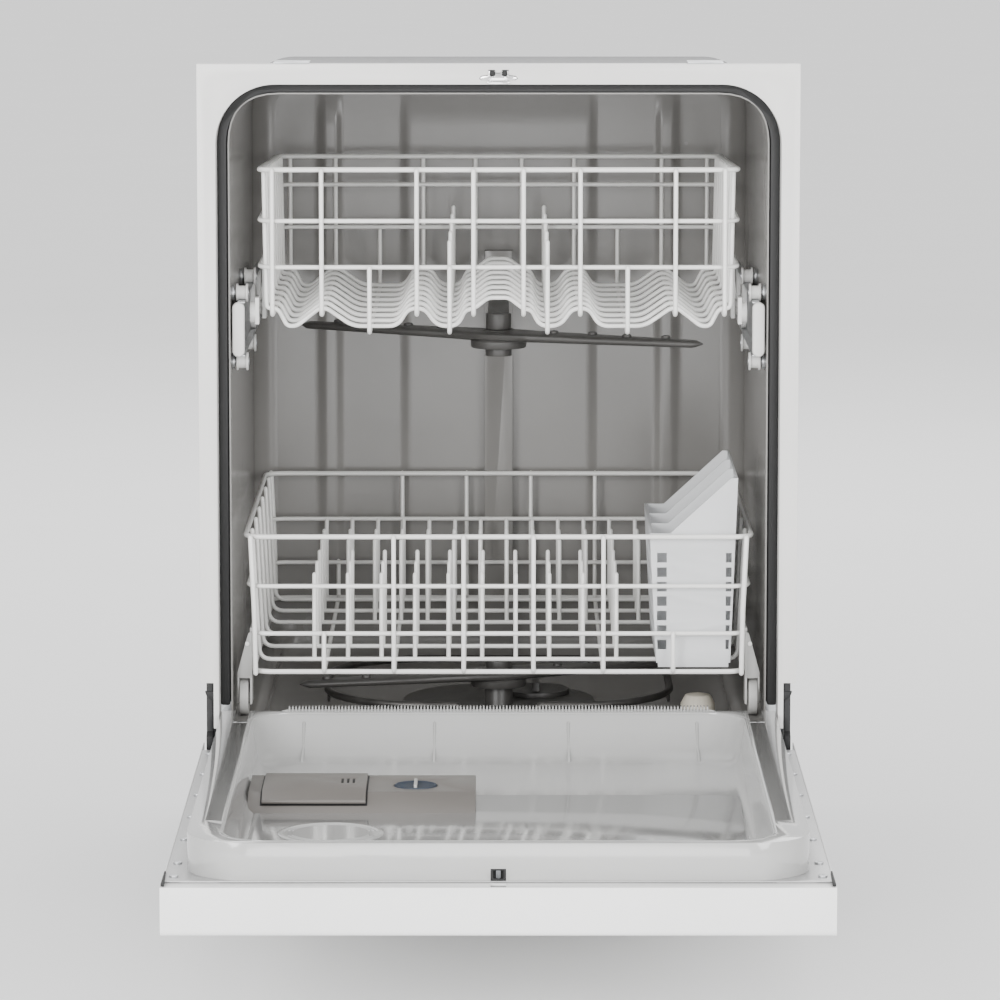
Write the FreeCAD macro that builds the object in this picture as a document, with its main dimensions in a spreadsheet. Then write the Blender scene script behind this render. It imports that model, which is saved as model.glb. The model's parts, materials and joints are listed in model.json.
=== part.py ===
import FreeCAD, Part
import math
import os
import re

import Sketcher
from FreeCAD import Placement, Rotation, Vector

# Built-in tall-tub dishwasher with its door open, in millimetres. The origin is on the floor, midway
# between the open door's front edge and the tub's back; +X is the right side seen from the front, +Y
# goes back into the cabinet and +Z is up. "front" is the Y of the front flange's face.

SIZES = {
    "width": 606, "height": 860, "front": 60, "depth": 570, "sheet": 1.2,
    "opening_half": 284.5, "opening_top": 839.5, "opening_radius": 60, "flange_foot": 231,
    "return_depth": 45, "tub_half": 272, "tub_top": 828, "tub_wall": 1.5, "tub_floor": 160,
    "float_x": 208, "float_depth": 140,
    "ledge_top": 187, "ledge_half": 242, "sill": 52, "sump_depth": 300, "sump_radius": 62,
    "gasket_front": 29.6, "gasket_foot": 203, "pivot_height": 170, "pivot_gap": 0.06,
    "door_half": 302.4, "door_outer": 121, "door_inner": 164.6, "door_tip": 690, "door_heel": 30,
    "console_outer": 118.6, "console_top": 163, "console_length": 116, "console_wall": 2.6,
    "console_lip": 21, "console_shelf": 150,
    "liner_half": 282.6, "liner_front": 667, "liner_back": 20, "liner_rim": 199,
    "liner_wall": 3, "liner_rim_width": 17, "liner_side_rim": 33,
    "liner_channel": 12, "liner_floor": 158, "liner_radius": 58, "latch_mouth": 11,
    "dispenser_left": -242, "dispenser_right": -22, "dispenser_near": -327, "dispenser_far": -202,
    "dispenser_height": 16, "dial_x": -80.5, "dial_y": -255, "vent_x": -158, "vent_y": -426,
    "rail_low": 561, "rail_high": 617, "rail_inner": 257.7, "rail_outer": 265,
    "rail_front": 38, "rail_length": 450,
    "roller_drum": 7, "roller_flange": 9.2, "roller_bore": 4.06, "roller_front": 62,
    "roller_rear": 240, "rack_wheel": 25.8, "rack_wheel_front": 300, "rack_wheel_rear": 440,
    "upper_rim": 751, "upper_second": 699, "upper_third": 652, "upper_back_rim": 730,
    "upper_half": 241.5, "upper_front": 40, "upper_back": 520, "rim_wire": 2.6, "thin_wire": 2.2,
    "upper_floor": 608, "upper_dip": 18,
    "lower_rim": 375, "lower_second": 324, "lower_third": 275, "lower_floor": 240,
    "lower_half": 259, "lower_foot_half": 252, "lower_front": 45, "lower_back": 545,
    "tine_height": 88, "tine_pitch": 34.7, "lower_wheel": 19, "lower_wheel_front": 66,
    "lower_wheel_rear": 500, "wheel_bore": 4.06, "axle": 4,
    "arm_centre": 270, "upper_arm_height": 553, "lower_arm_height": 190, "upper_arm_length": 471,
    "lower_arm_length": 446, "hub_radius": 29.5, "arm_bore": 9.3,
    "basket_left": 155, "basket_right": 245, "basket_taper": 7, "basket_front": 56, "basket_back": 282,
    "basket_foot": 242.8, "basket_low": 377, "basket_high": 434, "basket_wall": 2,
    "frame_half": 291, "foot_radius": 17, "link_height": 130.5,
}

doc = FreeCAD.newDocument("Dishwasher")
sheet = doc.addObject("Spreadsheet::Sheet", "Sizes")
for row, (alias, number) in enumerate(SIZES.items(), 1):
    sheet.set(f"A{row}", alias.replace("_", " "))
    sheet.set(f"B{row}", str(number))
    sheet.setAlias(f"B{row}", alias)
doc.recompute()

TURNS = {"X": Rotation(Vector(0, 1, 0), 90), "Y": Rotation(Vector(1, 0, 0), -90), "Z": Rotation()}
DIRECTIONS = {"X": Vector(1, 0, 0), "Y": Vector(0, 1, 0), "Z": Vector(0, 0, 1)}
KEPT = []


def bound(formula):
    """The formula with each alias written as a reference to the sheet."""
    return re.sub(r"[a-z][a-z_]+", lambda word: "Sizes." + word.group(0), str(formula))


def mm(formula):
    """The formula's value."""
    return float(sheet.evalExpression(bound(formula)))


def bind(piece, setting, formula):
    piece.setExpression(setting, bound(formula))


def keep(piece, label):
    """Mark a piece as one of the dishwasher's own parts, under its label."""
    piece.Label = label
    KEPT.append(piece)
    return piece


def box(name, x, y, z):
    """A block between low and high formulas along each axis."""
    made = doc.addObject("Part::Box", name)
    for setting, axis, (low, high) in zip(("Length", "Width", "Height"), "xyz", (x, y, z)):
        bind(made, setting, f"({high}) - ({low})")
        bind(made, f"Placement.Base.{axis}", low)
    return made


def rod(name, radius, axis, start, length):
    """A round rod along X, Y or Z from a start point."""
    made = doc.addObject("Part::Cylinder", name)
    made.Placement = Placement(Vector(), TURNS[axis])
    bind(made, "Radius", radius)
    bind(made, "Height", length)
    for letter, formula in zip("xyz", start):
        bind(made, f"Placement.Base.{letter}", formula)
    return made


def fuse(name, *pieces):
    made = doc.addObject("Part::MultiFuse", name)
    made.Shapes = list(pieces)
    return made


def cut(name, base, *tools):
    made = doc.addObject("Part::Cut", name)
    made.Base = base
    made.Tool = tools[0] if len(tools) == 1 else fuse(name + "_cutters", *tools)
    return made


def group(name, *pieces):
    """Several separate solids that share one node."""
    made = doc.addObject("Part::Compound", name)
    made.Links = list(pieces)
    return made


def both_sides(name, piece):
    """The piece and its mirror image across the middle plane."""
    other = doc.addObject("Part::Mirroring", name + "_other")
    other.Source = piece
    other.Normal = Vector(1, 0, 0)
    return group(name, piece, other)


def draw(sketch, outline):
    """One closed outline: a list of corner formulas, or a circle as (u, v, radius)."""
    first = sketch.GeometryCount
    if isinstance(outline, tuple):
        u, v, radius = outline
        sketch.addGeometry(Part.Circle(Vector(mm(u), mm(v), 0), Vector(0, 0, 1), mm(radius)))
        rules = [("DistanceX", first, 3, u), ("DistanceY", first, 3, v), ("Radius", first, 0, radius)]
    else:
        corners = [Vector(mm(u), mm(v), 0) for u, v in outline]
        last = len(corners) - 1
        for here, there in zip(corners, corners[1:] + corners[:1]):
            sketch.addGeometry(Part.LineSegment(here, there))
        for i in range(last + 1):
            after = first + (i + 1) % (last + 1)
            sketch.addConstraint(Sketcher.Constraint("Coincident", first + i, 2, after, 1))
        rules = []
        for i, (u, v) in enumerate(outline):
            rules += [("DistanceX", first + i, 1, u), ("DistanceY", first + i, 1, v)]
    for kind, line, point, formula in rules:
        if kind == "Radius":
            number = sketch.addConstraint(Sketcher.Constraint(kind, line, mm(formula)))
        else:
            number = sketch.addConstraint(Sketcher.Constraint(kind, -1, 1, line, point, mm(formula)))
        bind(sketch, f"Constraints[{number}]", formula)


def sketch_on(body, plane, offset, outlines):
    made = body.newObject("Sketcher::SketchObject", body.Name + "_sketch")
    role = plane + "_Plane"
    base = [face for face in body.Origin.OriginFeatures if face.Role == role][0]
    made.AttachmentSupport = [(base, "")]
    made.MapMode = "FlatFace"
    bind(made, "AttachmentOffset.Base.z", offset)
    for outline in outlines:
        draw(made, outline)
    return made


def pad(body, plane, low, high, *outlines):
    """Add material between two positions along the plane's axis."""
    flipped = plane == "XZ"
    sketch = sketch_on(body, plane, f"-({low})" if flipped else low, outlines)
    made = body.newObject("PartDesign::Pad", body.Name + "_pad")
    made.Profile = sketch
    made.Reversed = flipped
    bind(made, "Length", f"({high}) - ({low})")
    body.Tip = made
    doc.recompute()
    return made


def pocket(body, plane, low, high, *outlines):
    """Take material away between two positions along the plane's axis."""
    flipped = plane == "XZ"
    sketch = sketch_on(body, plane, f"-({low})" if flipped else high, outlines)
    before = body.Shape.Volume
    made = body.newObject("PartDesign::Pocket", body.Name + "_pocket")
    made.Profile = sketch
    bind(made, "Length", f"({high}) - ({low})")
    body.Tip = made
    doc.recompute()
    if body.Shape.Volume >= before:
        raise ValueError(f"{made.Name} takes nothing away")
    return made


def round_edges(body, axis, places, radius):
    """Fillet the straight edges along one axis that pass through the given places."""
    kept = [i for i in range(3) if "XYZ"[i] != axis]
    names = []
    for number, edge in enumerate(body.Tip.Shape.Edges, 1):
        if abs(edge.tangentAt(edge.FirstParameter).dot(DIRECTIONS[axis])) < 0.999:
            continue
        middle = edge.valueAt((edge.FirstParameter + edge.LastParameter) / 2)
        spot = [middle[i] for i in kept]
        if any(math.dist(spot, [mm(c) for c in place]) < 0.2 for place in places):
            names.append(f"Edge{number}")
    base = body.Tip
    made = body.newObject("PartDesign::Fillet", body.Name + "_round")
    made.Base = (base, names)
    body.Tip = made
    bind(made, "Radius", radius)
    doc.recompute()
    return made


def new_part(label):
    """A body that only serves to make another part."""
    return doc.addObject("PartDesign::Body", label)


def new_body(label):
    return keep(new_part(label), label)


def rectangle(u, v):
    (left, right), (low, high) = u, v
    return [(left, low), (right, low), (right, high), (left, high)]


def arch(half, top, foot, thickness):
    """The outline of an upside-down U: two legs and a bridge."""
    inner, under = f"({half}) - {thickness}", f"({top}) - {thickness}"
    return [(f"-({half})", foot), (f"-({half})", top), (half, top), (half, foot),
            (inner, foot), (inner, under), (f"-({inner})", under), (f"-({inner})", foot)]


def spin(body, places, plane="XY"):
    """Revolve outlines drawn in the plane about the sketch's vertical axis."""
    sketch = sketch_on(body, plane, "0", places)
    made = body.newObject("PartDesign::Revolution", body.Name + "_turned")
    made.Profile = sketch
    made.ReferenceAxis = (sketch, ["V_Axis"])
    made.Angle = 360
    body.Tip = made
    doc.recompute()
    return made


def solid(label, shapes, place=Placement()):
    """A piece made of shapes that no single feature draws, such as a set of welded wires."""
    made = doc.addObject("Part::Feature", label)
    made.Shape = shapes[0] if len(shapes) == 1 else Part.makeCompound(shapes)
    made.Placement = place
    return keep(made, label)


def wire(start, end, radius):
    """A straight round wire between two points."""
    run = Vector(*end) - Vector(*start)
    return Part.makeCylinder(radius, run.Length, Vector(*start), run)


def bent_wire(points, radius):
    """A round wire through the points, with sharp bends."""
    path = Part.makePolygon([Vector(*point) for point in points])
    first = path.Edges[0]
    ring = Part.Wire(Part.makeCircle(radius, first.valueAt(0), first.tangentAt(0)))
    return path.makePipeShell([ring], True, False, 1)


def back_of(distance):
    """Y at a distance behind the front flange's face."""
    return mm("front") + distance


# ---------------------------------------------------------------- cabinet: tub, flange and seal
def make_tub():
    tub = new_body("tub")
    outer, top = "tub_half + tub_wall", "tub_top + tub_wall"
    shelf, trough = "ledge_top - tub_wall", "ledge_half + tub_wall"
    under = "tub_floor - tub_wall"
    pad(tub, "XZ", "front + 30", "front + depth", [
        (f"-({outer})", shelf), (f"-({outer})", top), (outer, top), (outer, shelf), (trough, shelf),
        (trough, under), (f"-({trough})", under), (f"-({trough})", shelf)])
    inside_end = "front + depth - tub_wall"
    pocket(tub, "XZ", "front + 30", inside_end,
           rectangle(("-tub_half", "tub_half"), ("ledge_top", "tub_top")))
    round_edges(tub, "Y", [("tub_half", "tub_top"), ("-tub_half", "tub_top")], "opening_radius - 10")
    round_edges(tub, "Y", [(outer, top), (f"-({outer})", top)], "opening_radius - 10 + tub_wall")
    pocket(tub, "XY", "tub_floor", "ledge_top",
           rectangle(("-ledge_half", "ledge_half"), ("front + sill", inside_end)))
    pocket(tub, "XZ", "front + 30", "front + sill - 2",
           rectangle((f"-({outer})", outer), (under, "ledge_top")))
    pocket(tub, "XZ", "front + sill - 2", "front + sill",
           rectangle(("-ledge_half", "ledge_half"), ("tub_floor + 26", "ledge_top")))
    pad(tub, "XZ", "front + return_depth", "front + return_depth + tub_wall",
        arch("opening_half + sheet", "opening_top + sheet", "ledge_top", "12.2"))
    for side in ("", "-"):
        for middle in ("tub_half - 85", "tub_half - 168"):
            ends = [f"{side}({middle} - 9)", f"{side}({middle} + 9)"]
            pad(tub, "XZ", "front + depth - tub_wall - 3", "front + depth - tub_wall",
                rectangle(ends, ("tub_floor + 60", "tub_top - 20")))
    pocket(tub, "XY", under, "tub_floor", ("0", "front + sump_depth", "sump_radius"))


def make_front_frame():
    frame = new_body("front_frame")
    half, inner, foot = "width / 2", "opening_half", "ledge_top - 3"
    pad(frame, "XZ", "front", "front + sheet", [
        (f"-({half})", "flange_foot"), (f"-({half})", "height"), (half, "height"), (half, "flange_foot"),
        ("290", "flange_foot"), ("290", foot), (inner, foot), (inner, "opening_top"),
        (f"-{inner}", "opening_top"), (f"-{inner}", foot), ("-290", foot), ("-290", "flange_foot")])
    pad(frame, "XZ", "front", "front + return_depth", arch("opening_half + sheet", "opening_top + sheet",
                                                           foot, "sheet"))
    round_edges(frame, "Y", [(inner, "opening_top"), (f"-{inner}", "opening_top")], "opening_radius")
    outer, top = f"{inner} + sheet", "opening_top + sheet"
    round_edges(frame, "Y", [(outer, top), (f"-({outer})", top)], "opening_radius + sheet")
    pad(frame, "XZ", "front", "front + 18", arch(half, "height", "flange_foot", "sheet"))


def make_door_gasket():
    gasket = new_body("door_gasket")
    half, top, thick = "opening_half - 0.3", "opening_top - 0.3", "9.6"
    pad(gasket, "XZ", "front + gasket_front", "front + return_depth", arch(half, top, "gasket_foot", thick))
    inner, under = f"{half} - {thick}", f"{top} - {thick}"
    round_edges(gasket, "Y", [(inner, under), (f"-({inner})", under)], "opening_radius - 10")
    round_edges(gasket, "Y", [(half, top), (f"-({half})", top)], "opening_radius - 0.4")


def make_door_strike():
    """A winged plate with two screw heads, a lip below it and the loop that the latch hook catches."""
    low = "opening_top"
    wings = box("strike_wings", ("-18.5", "18.5"), ("front - 1.4", "front"), (f"{low} + 4.5", f"{low} + 9"))
    plate = box("strike_plate", ("-10", "10"), ("front - 1.4", "front"), (f"{low} + 2", f"{low} + 14"))
    lip = box("strike_lip", ("-11", "11"), ("front - 3", "front"), (f"{low} + 0.4", f"{low} + 3.4"))
    heads = [rod(f"strike_head_{i}", "3.2", "Y", (x, "front - 3.4", f"{low} + 11.4"), "2.4")
             for i, x in enumerate(("-6.2", "6.2"))]
    legs = [box(f"strike_leg_{i}", (f"{x} - 1.2", f"{x} + 1.2"), ("front - 15", "front - 1.4"),
                (f"{low} + 7", f"{low} + 9.4")) for i, x in enumerate((-4.6, 4.6))]
    bar = rod("strike_bar", "1.6", "X", ("-5.8", "front - 14.4", f"{low} + 8.2"), "11.6")
    keep(fuse("strike", wings, plate, lip, *heads, *legs, bar), "door_strike")


def make_sound_blanket():
    blanket = new_body("sound_blanket")
    half, top = "tub_half + tub_wall + 8", "tub_top + tub_wall + 8"
    pad(blanket, "XZ", "front + 60", "front + depth - 12", arch(half, top, "ledge_top + 14", "7.8"))
    inner, under = "tub_half + tub_wall + 0.2", "tub_top + tub_wall + 0.2"
    round_edges(blanket, "Y", [(inner, under), (f"-({inner})", under)], "opening_radius - 12")
    round_edges(blanket, "Y", [(half, top), (f"-({half})", top)], "opening_radius - 4")


# ---------------------------------------------------------------- base, feet and panels
def make_base():
    shelf = "ledge_top - tub_wall"
    web = box("web", ("frame_half - 1.5", "frame_half"), ("front + 50", "front + depth - 5"), ("30", shelf))
    top = box("web_top", ("frame_half - 40", "frame_half"), ("front + 52", "front + depth - 5"),
              (f"{shelf} - 1.5", shelf))
    foot = box("web_foot", ("frame_half - 40", "frame_half"), ("front + 50", "front + depth - 5"),
               ("30", "31.5"))
    tab = box("spring_tab", ("frame_half - 22", "frame_half - 1.5"), ("front + 226", "front + 230"),
              ("link_height - 14", "link_height + 14"))
    tab_hole = rod("tab_bore", "2.6", "Y", ("280.4", "front + 224", "link_height"), "8")
    side = fuse("side_frame", web, top, foot, cut("spring_anchor", tab, tab_hole))
    other = doc.addObject("Part::Mirroring", "side_frame_other")
    other.Source = side
    other.Normal = Vector(1, 0, 0)
    bars = [box(f"cross_bar_{i}", ("-frame_half + 1.5", "frame_half - 1.5"),
                (f"front + {y}", f"front + {y} + 30"), ("31.5", "34.5")) for i, y in enumerate((52, 520))]
    keep(fuse("base", side, other, *bars), "base_frame")


def make_feet():
    feet = []
    for i, (x, y) in enumerate([(x, y) for x in ("-268", "268") for y in ("front + 66", "front + 534")]):
        pad_disc = rod(f"foot_pad_{i}", "foot_radius", "Z", (x, y, "0"), "7")
        stem = rod(f"foot_stem_{i}", "5", "Z", (x, y, "7"), "23")
        feet.append(fuse(f"foot_{i}", pad_disc, stem))
    keep(group("feet", *feet), "levelling_legs")


def make_toe_panel():
    panel = new_body("toe_panel")
    pad(panel, "XZ", "front + 47", "front + 48.2", rectangle(("-frame_half - 8", "frame_half + 8"),
                                                             ("6", "112")))
    pad(panel, "XZ", "front + 48.2", "front + 49.8", arch("frame_half + 8", "112", "6", "1.6"))
    louvres = [rectangle((f"{x}", f"{x} + 60"), ("70", "76")) for x in (-230, -140, -50, 40, 130)]
    pocket(panel, "XZ", "front + 47", "front + 48.2", *louvres)


def make_counter_brackets():
    plate = box("tab", ("190", "226"), ("front + 3", "front + 44"), ("height", "height + 1.5"))
    hole = rod("tab_hole", "2.5", "Z", ("208", "front + 24", "height - 1"), "4")
    keep(both_sides("brackets", cut("tab_cut", plate, hole)), "counter_brackets")


# ---------------------------------------------------------------- water works under and in the tub
def make_sump():
    well = rod("well", "sump_radius + 8", "Z", ("0", "front + sump_depth", "96"), "tub_floor - tub_wall - 96")
    hollow = rod("hollow", "sump_radius - 4", "Z", ("0", "front + sump_depth", "100"), "70")
    throat = rod("throat", "14", "X", ("-110", "front + sump_depth", "116"), "60")
    throat_bore = rod("throat_bore", "11", "X", ("-111", "front + sump_depth", "116"), "70")
    outlet = rod("outlet", "10", "X", ("50", "front + sump_depth", "112"), "60")
    outlet_bore = rod("outlet_bore", "8", "X", ("40", "front + sump_depth", "112"), "71")
    keep(cut("sump_cast", fuse("sump_body", well, throat, outlet), hollow, throat_bore, outlet_bore), "sump")


def make_pumps():
    volute = rod("volute", "34", "X", ("-146", "front + sump_depth", "116"), "36")
    motor = rod("motor", "40", "X", ("-236", "front + sump_depth", "116"), "88")
    neck = rod("motor_neck", "20", "X", ("-148", "front + sump_depth", "116"), "2")
    keep(fuse("wash_pump_body", volute, motor, neck), "wash_pump")
    chamber = rod("drain_chamber", "24", "X", ("110.2", "front + sump_depth", "112"), "28")
    coil = box("drain_coil", ("138.2", "190"), ("front + sump_depth - 22", "front + sump_depth + 22"),
               ("92", "132"))
    seat = box("drain_seat", ("112", "136"), ("front + sump_depth + 16", "front + sump_depth + 26"),
               ("100", "124"))
    port = rod("drain_port", "8", "Y", ("124", "front + sump_depth + 20", "112"), "46")
    bore = rod("drain_bore", "6", "Y", ("124", "front + sump_depth + 20", "112"), "60")
    keep(cut("drain_pump_body", fuse("drain_body", chamber, coil, seat, port), bore), "drain_pump")


def make_inlet_valve():
    block = box("valve_block", ("-250", "-206"), ("front + 92", "front + 132"), ("36", "66"))
    solenoid = rod("solenoid", "14", "Z", ("-228", "front + 112", "66"), "34")
    port = rod("valve_port", "9.5", "Y", ("-228", "front + 132", "50"), "18")
    bore = rod("valve_bore", "7", "Y", ("-228", "front + 126", "50"), "30")
    outlet = rod("valve_outlet", "6", "X", ("-206", "front + 112", "50"), "22")
    lug = box("valve_lug", ("-262", "-250"), ("front + 92", "front + 132"), ("34.5", "37"))
    keep(cut("valve", fuse("valve_body", block, solenoid, port, outlet, lug), bore), "inlet_valve")


def make_junction_box():
    case = new_body("junction_box")
    pad(case, "XY", "34.5", "84.5", rectangle(("196", "270"), ("front + 62", "front + 122")))
    pocket(case, "XY", "36", "83", rectangle(("197.5", "268.5"), ("front + 63.5", "front + 120.5")))
    pocket(case, "XZ", "front + 120", "front + 124", ("233", "60", "11.1"))


def make_heating_element():
    radius, height = 4, mm("tub_floor") + 22
    centre = back_of(mm("sump_depth"))
    loop = []
    half, near, far, bend = 182, centre - 150, centre + 150, 110
    corners = [(half, near), (half, far), (-half, far), (-half, near)]
    loop.append(wire((half - bend, far, height), (bend - half, far, height), radius))
    loop.append(wire((half - bend, near, height), (40, near, height), radius))
    loop.append(wire((-half + bend, near, height), (-40, near, height), radius))
    for x in (half, -half):
        loop.append(wire((x, near + bend, height), (x, far - bend, height), radius))
        loop.append(wire((math.copysign(40, x), near, height + radius), (math.copysign(40, x), near,
                         mm("tub_floor")), 5))
    for x, y in corners:
        middle = Vector(x - math.copysign(bend, x), y - math.copysign(bend, y - centre), height)
        quarter = Part.makeTorus(bend, radius, middle, Vector(0, 0, 1))
        window = Part.makeBox(bend + radius, bend + radius, 2 * radius)
        window.translate(Vector(min(middle.x, middle.x + math.copysign(bend + radius, x)),
                                min(middle.y, middle.y + math.copysign(bend + radius, y - centre)),
                                height - radius))
        loop.append(quarter.common(window).Solids[0])
    for x, y in ((half, centre), (-half, centre)):
        clip = Part.makeBox(10, 14, height - radius - mm("tub_floor"))
        clip.translate(Vector(x - 5, y - 7, mm("tub_floor")))
        loop.append(clip)
    solid("heating_element", loop)


def make_filters():
    plate = rod("filter_disc", "sump_radius + 40", "Z", ("0", "front + sump_depth", "tub_floor"), "3")
    hole = rod("filter_hole", "36", "Z", ("40", "front + sump_depth + 40", "tub_floor - 1"), "6")
    arm_at = ("0", "front + arm_centre")
    tower = rod("arm_tower", "15", "Z", (*arm_at, "tub_floor"), "lower_arm_height - 7.4 - tub_floor")
    post = rod("arm_post", "arm_bore - 0.3", "Z", (*arm_at, "tub_floor"), "lower_arm_height + 18 - tub_floor")
    nut = rod("arm_nut", "14", "Z", (*arm_at, "lower_arm_height + 12.4"), "8")
    keep(cut("plate_cut", fuse("plate_body", plate, tower, post, nut), hole), "filter_plate")
    rim = rod("cup_rim", "35.6", "Z", ("40", "front + sump_depth + 40", "tub_floor - 0"), "8")
    grip = box("cup_grip", ("36", "44"), ("front + sump_depth + 14", "front + sump_depth + 66"),
               ("tub_floor + 8", "tub_floor + 18"))
    keep(fuse("cup", rim, grip), "filter_cup")


def make_feed_tube():
    riser = box("riser", ("-15.5", "15.5"), ("front + depth - 22", "front + depth - 5"),
                ("tub_floor + 1", "upper_arm_height + 70"))
    nozzle = rod("nozzle", "12", "Y", ("0", "front + depth - 40", "upper_arm_height + 40"), "19")
    bore = rod("nozzle_bore", "8.5", "Y", ("0", "front + depth - 41", "upper_arm_height + 40"), "20")
    keep(cut("feed", fuse("feed_body", riser, nozzle), bore), "feed_tube")


def make_float():
    guide = rod("guide", "5", "Z", ("float_x", "front + float_depth", "tub_floor"), "33")
    keep(guide, "float_guide")
    dome = new_body("float_dome")
    spin(dome, [[("5.4", "2"), ("18", "2"), ("18", "27"), ("13", "36"), ("0", "38.5"), ("0", "34"),
                 ("5.4", "34")]], "XZ")
    bind(dome, "Placement.Base.x", "float_x")
    bind(dome, "Placement.Base.y", "front + float_depth")
    bind(dome, "Placement.Base.z", "tub_floor - 0.8")


def arm_outline(half, wide, hub):
    """Half-lengths of a two-bladed arm seen from above."""
    return [(f"-{half}", "-7"), ("-40", f"-{wide}"), (f"-{hub}", f"-{hub}"), (hub, f"-{hub}"),
            ("40", f"-{wide}"), (half, "-7"), (half, "7"), ("40", wide), (hub, hub), (f"-{hub}", hub),
            ("-40", wide), (f"-{half}", "7")]


def make_spray_arm(label, height, length, turned):
    arm = new_body(label)
    pad(arm, "XY", "0", "12", arm_outline(f"({length} / 2)", "22", "24"))
    pad(arm, "XY", "-7", "0", ("0", "0", "hub_radius"))
    for i in range(4):
        for side in (1, -1):
            spot = side * (66 + 42 * i)
            pad(arm, "XY", "12", "14", (str(spot), "0", "4.5"))
    pocket(arm, "XY", "-7", "14", ("0", "0", "arm_bore"))
    bind(arm, "Placement.Base.z", height)
    bind(arm, "Placement.Base.y", "front + arm_centre")
    arm.Placement.Rotation = Rotation(Vector(0, 0, 1), turned)


# ---------------------------------------------------------------- hinges and springs
def make_hinges():
    bracket = new_part("hinge_bracket_right")
    pad(bracket, "YZ", "frame_half", "frame_half + 6.4", [
        ("front + 3", "flange_foot"), ("front + 26", "flange_foot"), ("front + 62", "200"),
        ("front + 62", "116"), ("front + 38", "116"), ("front + 38", "150"), ("front + 8", "158"),
        ("front - 6", "164"), ("front - 6", "177"), ("front + 3", "181")])
    pin = rod("hinge_pin", "4", "X", ("283.2", "front", "pivot_height"), "frame_half - 283.2 + 1")
    keep(both_sides("brackets_both", fuse("bracket_pin", bracket, pin)), "hinge_brackets")
    arm = new_part("hinge_arm_right")
    pad(arm, "YZ", "284.6", "288.6", [
        ("front - 190", "128"), ("front - 60", "128"), ("front + 20", "125"), ("front + 30", "125"),
        ("front + 30", "136"), ("front + 9", "160"), ("front + 9", "179"), ("front - 9", "179"),
        ("front - 14", "door_inner - sheet - 0.1"), ("front - 190", "door_inner - sheet - 0.1")])
    pocket(arm, "YZ", "284.6", "288.6", ("front", "pivot_height", "4 + pivot_gap"))
    pocket(arm, "YZ", "284.6", "288.6", ("front + 25", "130.5", "2.6"))
    keep(both_sides("arms_both", arm), "hinge_arms")


def make_springs():
    """Push rods that the opening door drives back through their compression springs."""
    links, coils = [], []
    height, rod_radius = mm("link_height"), 2
    eye, collar, anchor = back_of(25), back_of(90), back_of(226)
    turns = 15
    pitch = (anchor - collar - 8) / turns
    for side in (-1, 1):
        x = side * 280.4
        links.append(wire((x, eye + 4, height), (x, collar, height), rod_radius))
        links.append(wire((x, collar, height), (x, collar + 3, height), 9))
        links.append(wire((x, collar + 3, height), (x, anchor + 14, height), rod_radius))
        links.append(wire((x, eye, height), (x + side * 3.6, eye, height), rod_radius))
        links.append(Part.makeTorus(4, 2, Vector(x, eye, height), Vector(1, 0, 0)).Solids[0])
        for turn in range(turns + 1):
            spot = Vector(x, collar + 5.6 + turn * pitch * 0.985, height)
            coils.append(Part.makeTorus(6.5, 1.5, spot, Vector(0, 1, 0)).Solids[0])
    solid("spring_links", links)
    solid("door_springs", coils)


# ---------------------------------------------------------------- door
def make_door():
    panel = new_body("door_outer_panel")
    near, heel = "front - door_tip + console_length", "front + door_heel"
    tip = "front - door_tip + console_lip"
    pad(panel, "XY", "door_outer", "door_outer + sheet", rectangle(("-door_half", "door_half"), (near, heel)))
    for side in ("", "-"):
        edge = (f"{side}(door_half - sheet)", f"{side}(door_half)")
        pad(panel, "XY", "door_outer + sheet", "door_inner", rectangle(edge, (near, heel)))
        pad(panel, "XY", "console_shelf + 0.2", "door_inner", rectangle(edge, (f"{tip} + 0.1", near)))
    pad(panel, "XY", "door_outer + sheet", "door_outer + 8", rectangle(
        ("-272", "272"), (f"{heel} - sheet", heel)))
    frame = new_body("door_frame")
    low = "door_outer + sheet"
    for side in ("", "-"):
        pad(frame, "XY", "door_inner - sheet", "door_inner", rectangle(
            (f"{side}(liner_half - 6)", f"{side}(door_half - sheet - 0.1)"),
            (f"{tip} + 0.1", "front - 14")))
        pad(frame, "XY", low, "door_inner - sheet", rectangle(
            (f"{side}(door_half - 2 * sheet - 0.1)", f"{side}(door_half - sheet - 0.1)"),
            (near, "front - 14")))
    pad(frame, "XY", "door_inner - sheet", "door_inner", rectangle(
        ("-liner_half + 6", "liner_half - 6"), (f"{tip} + 0.1", "front - liner_front + 9")))


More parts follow.
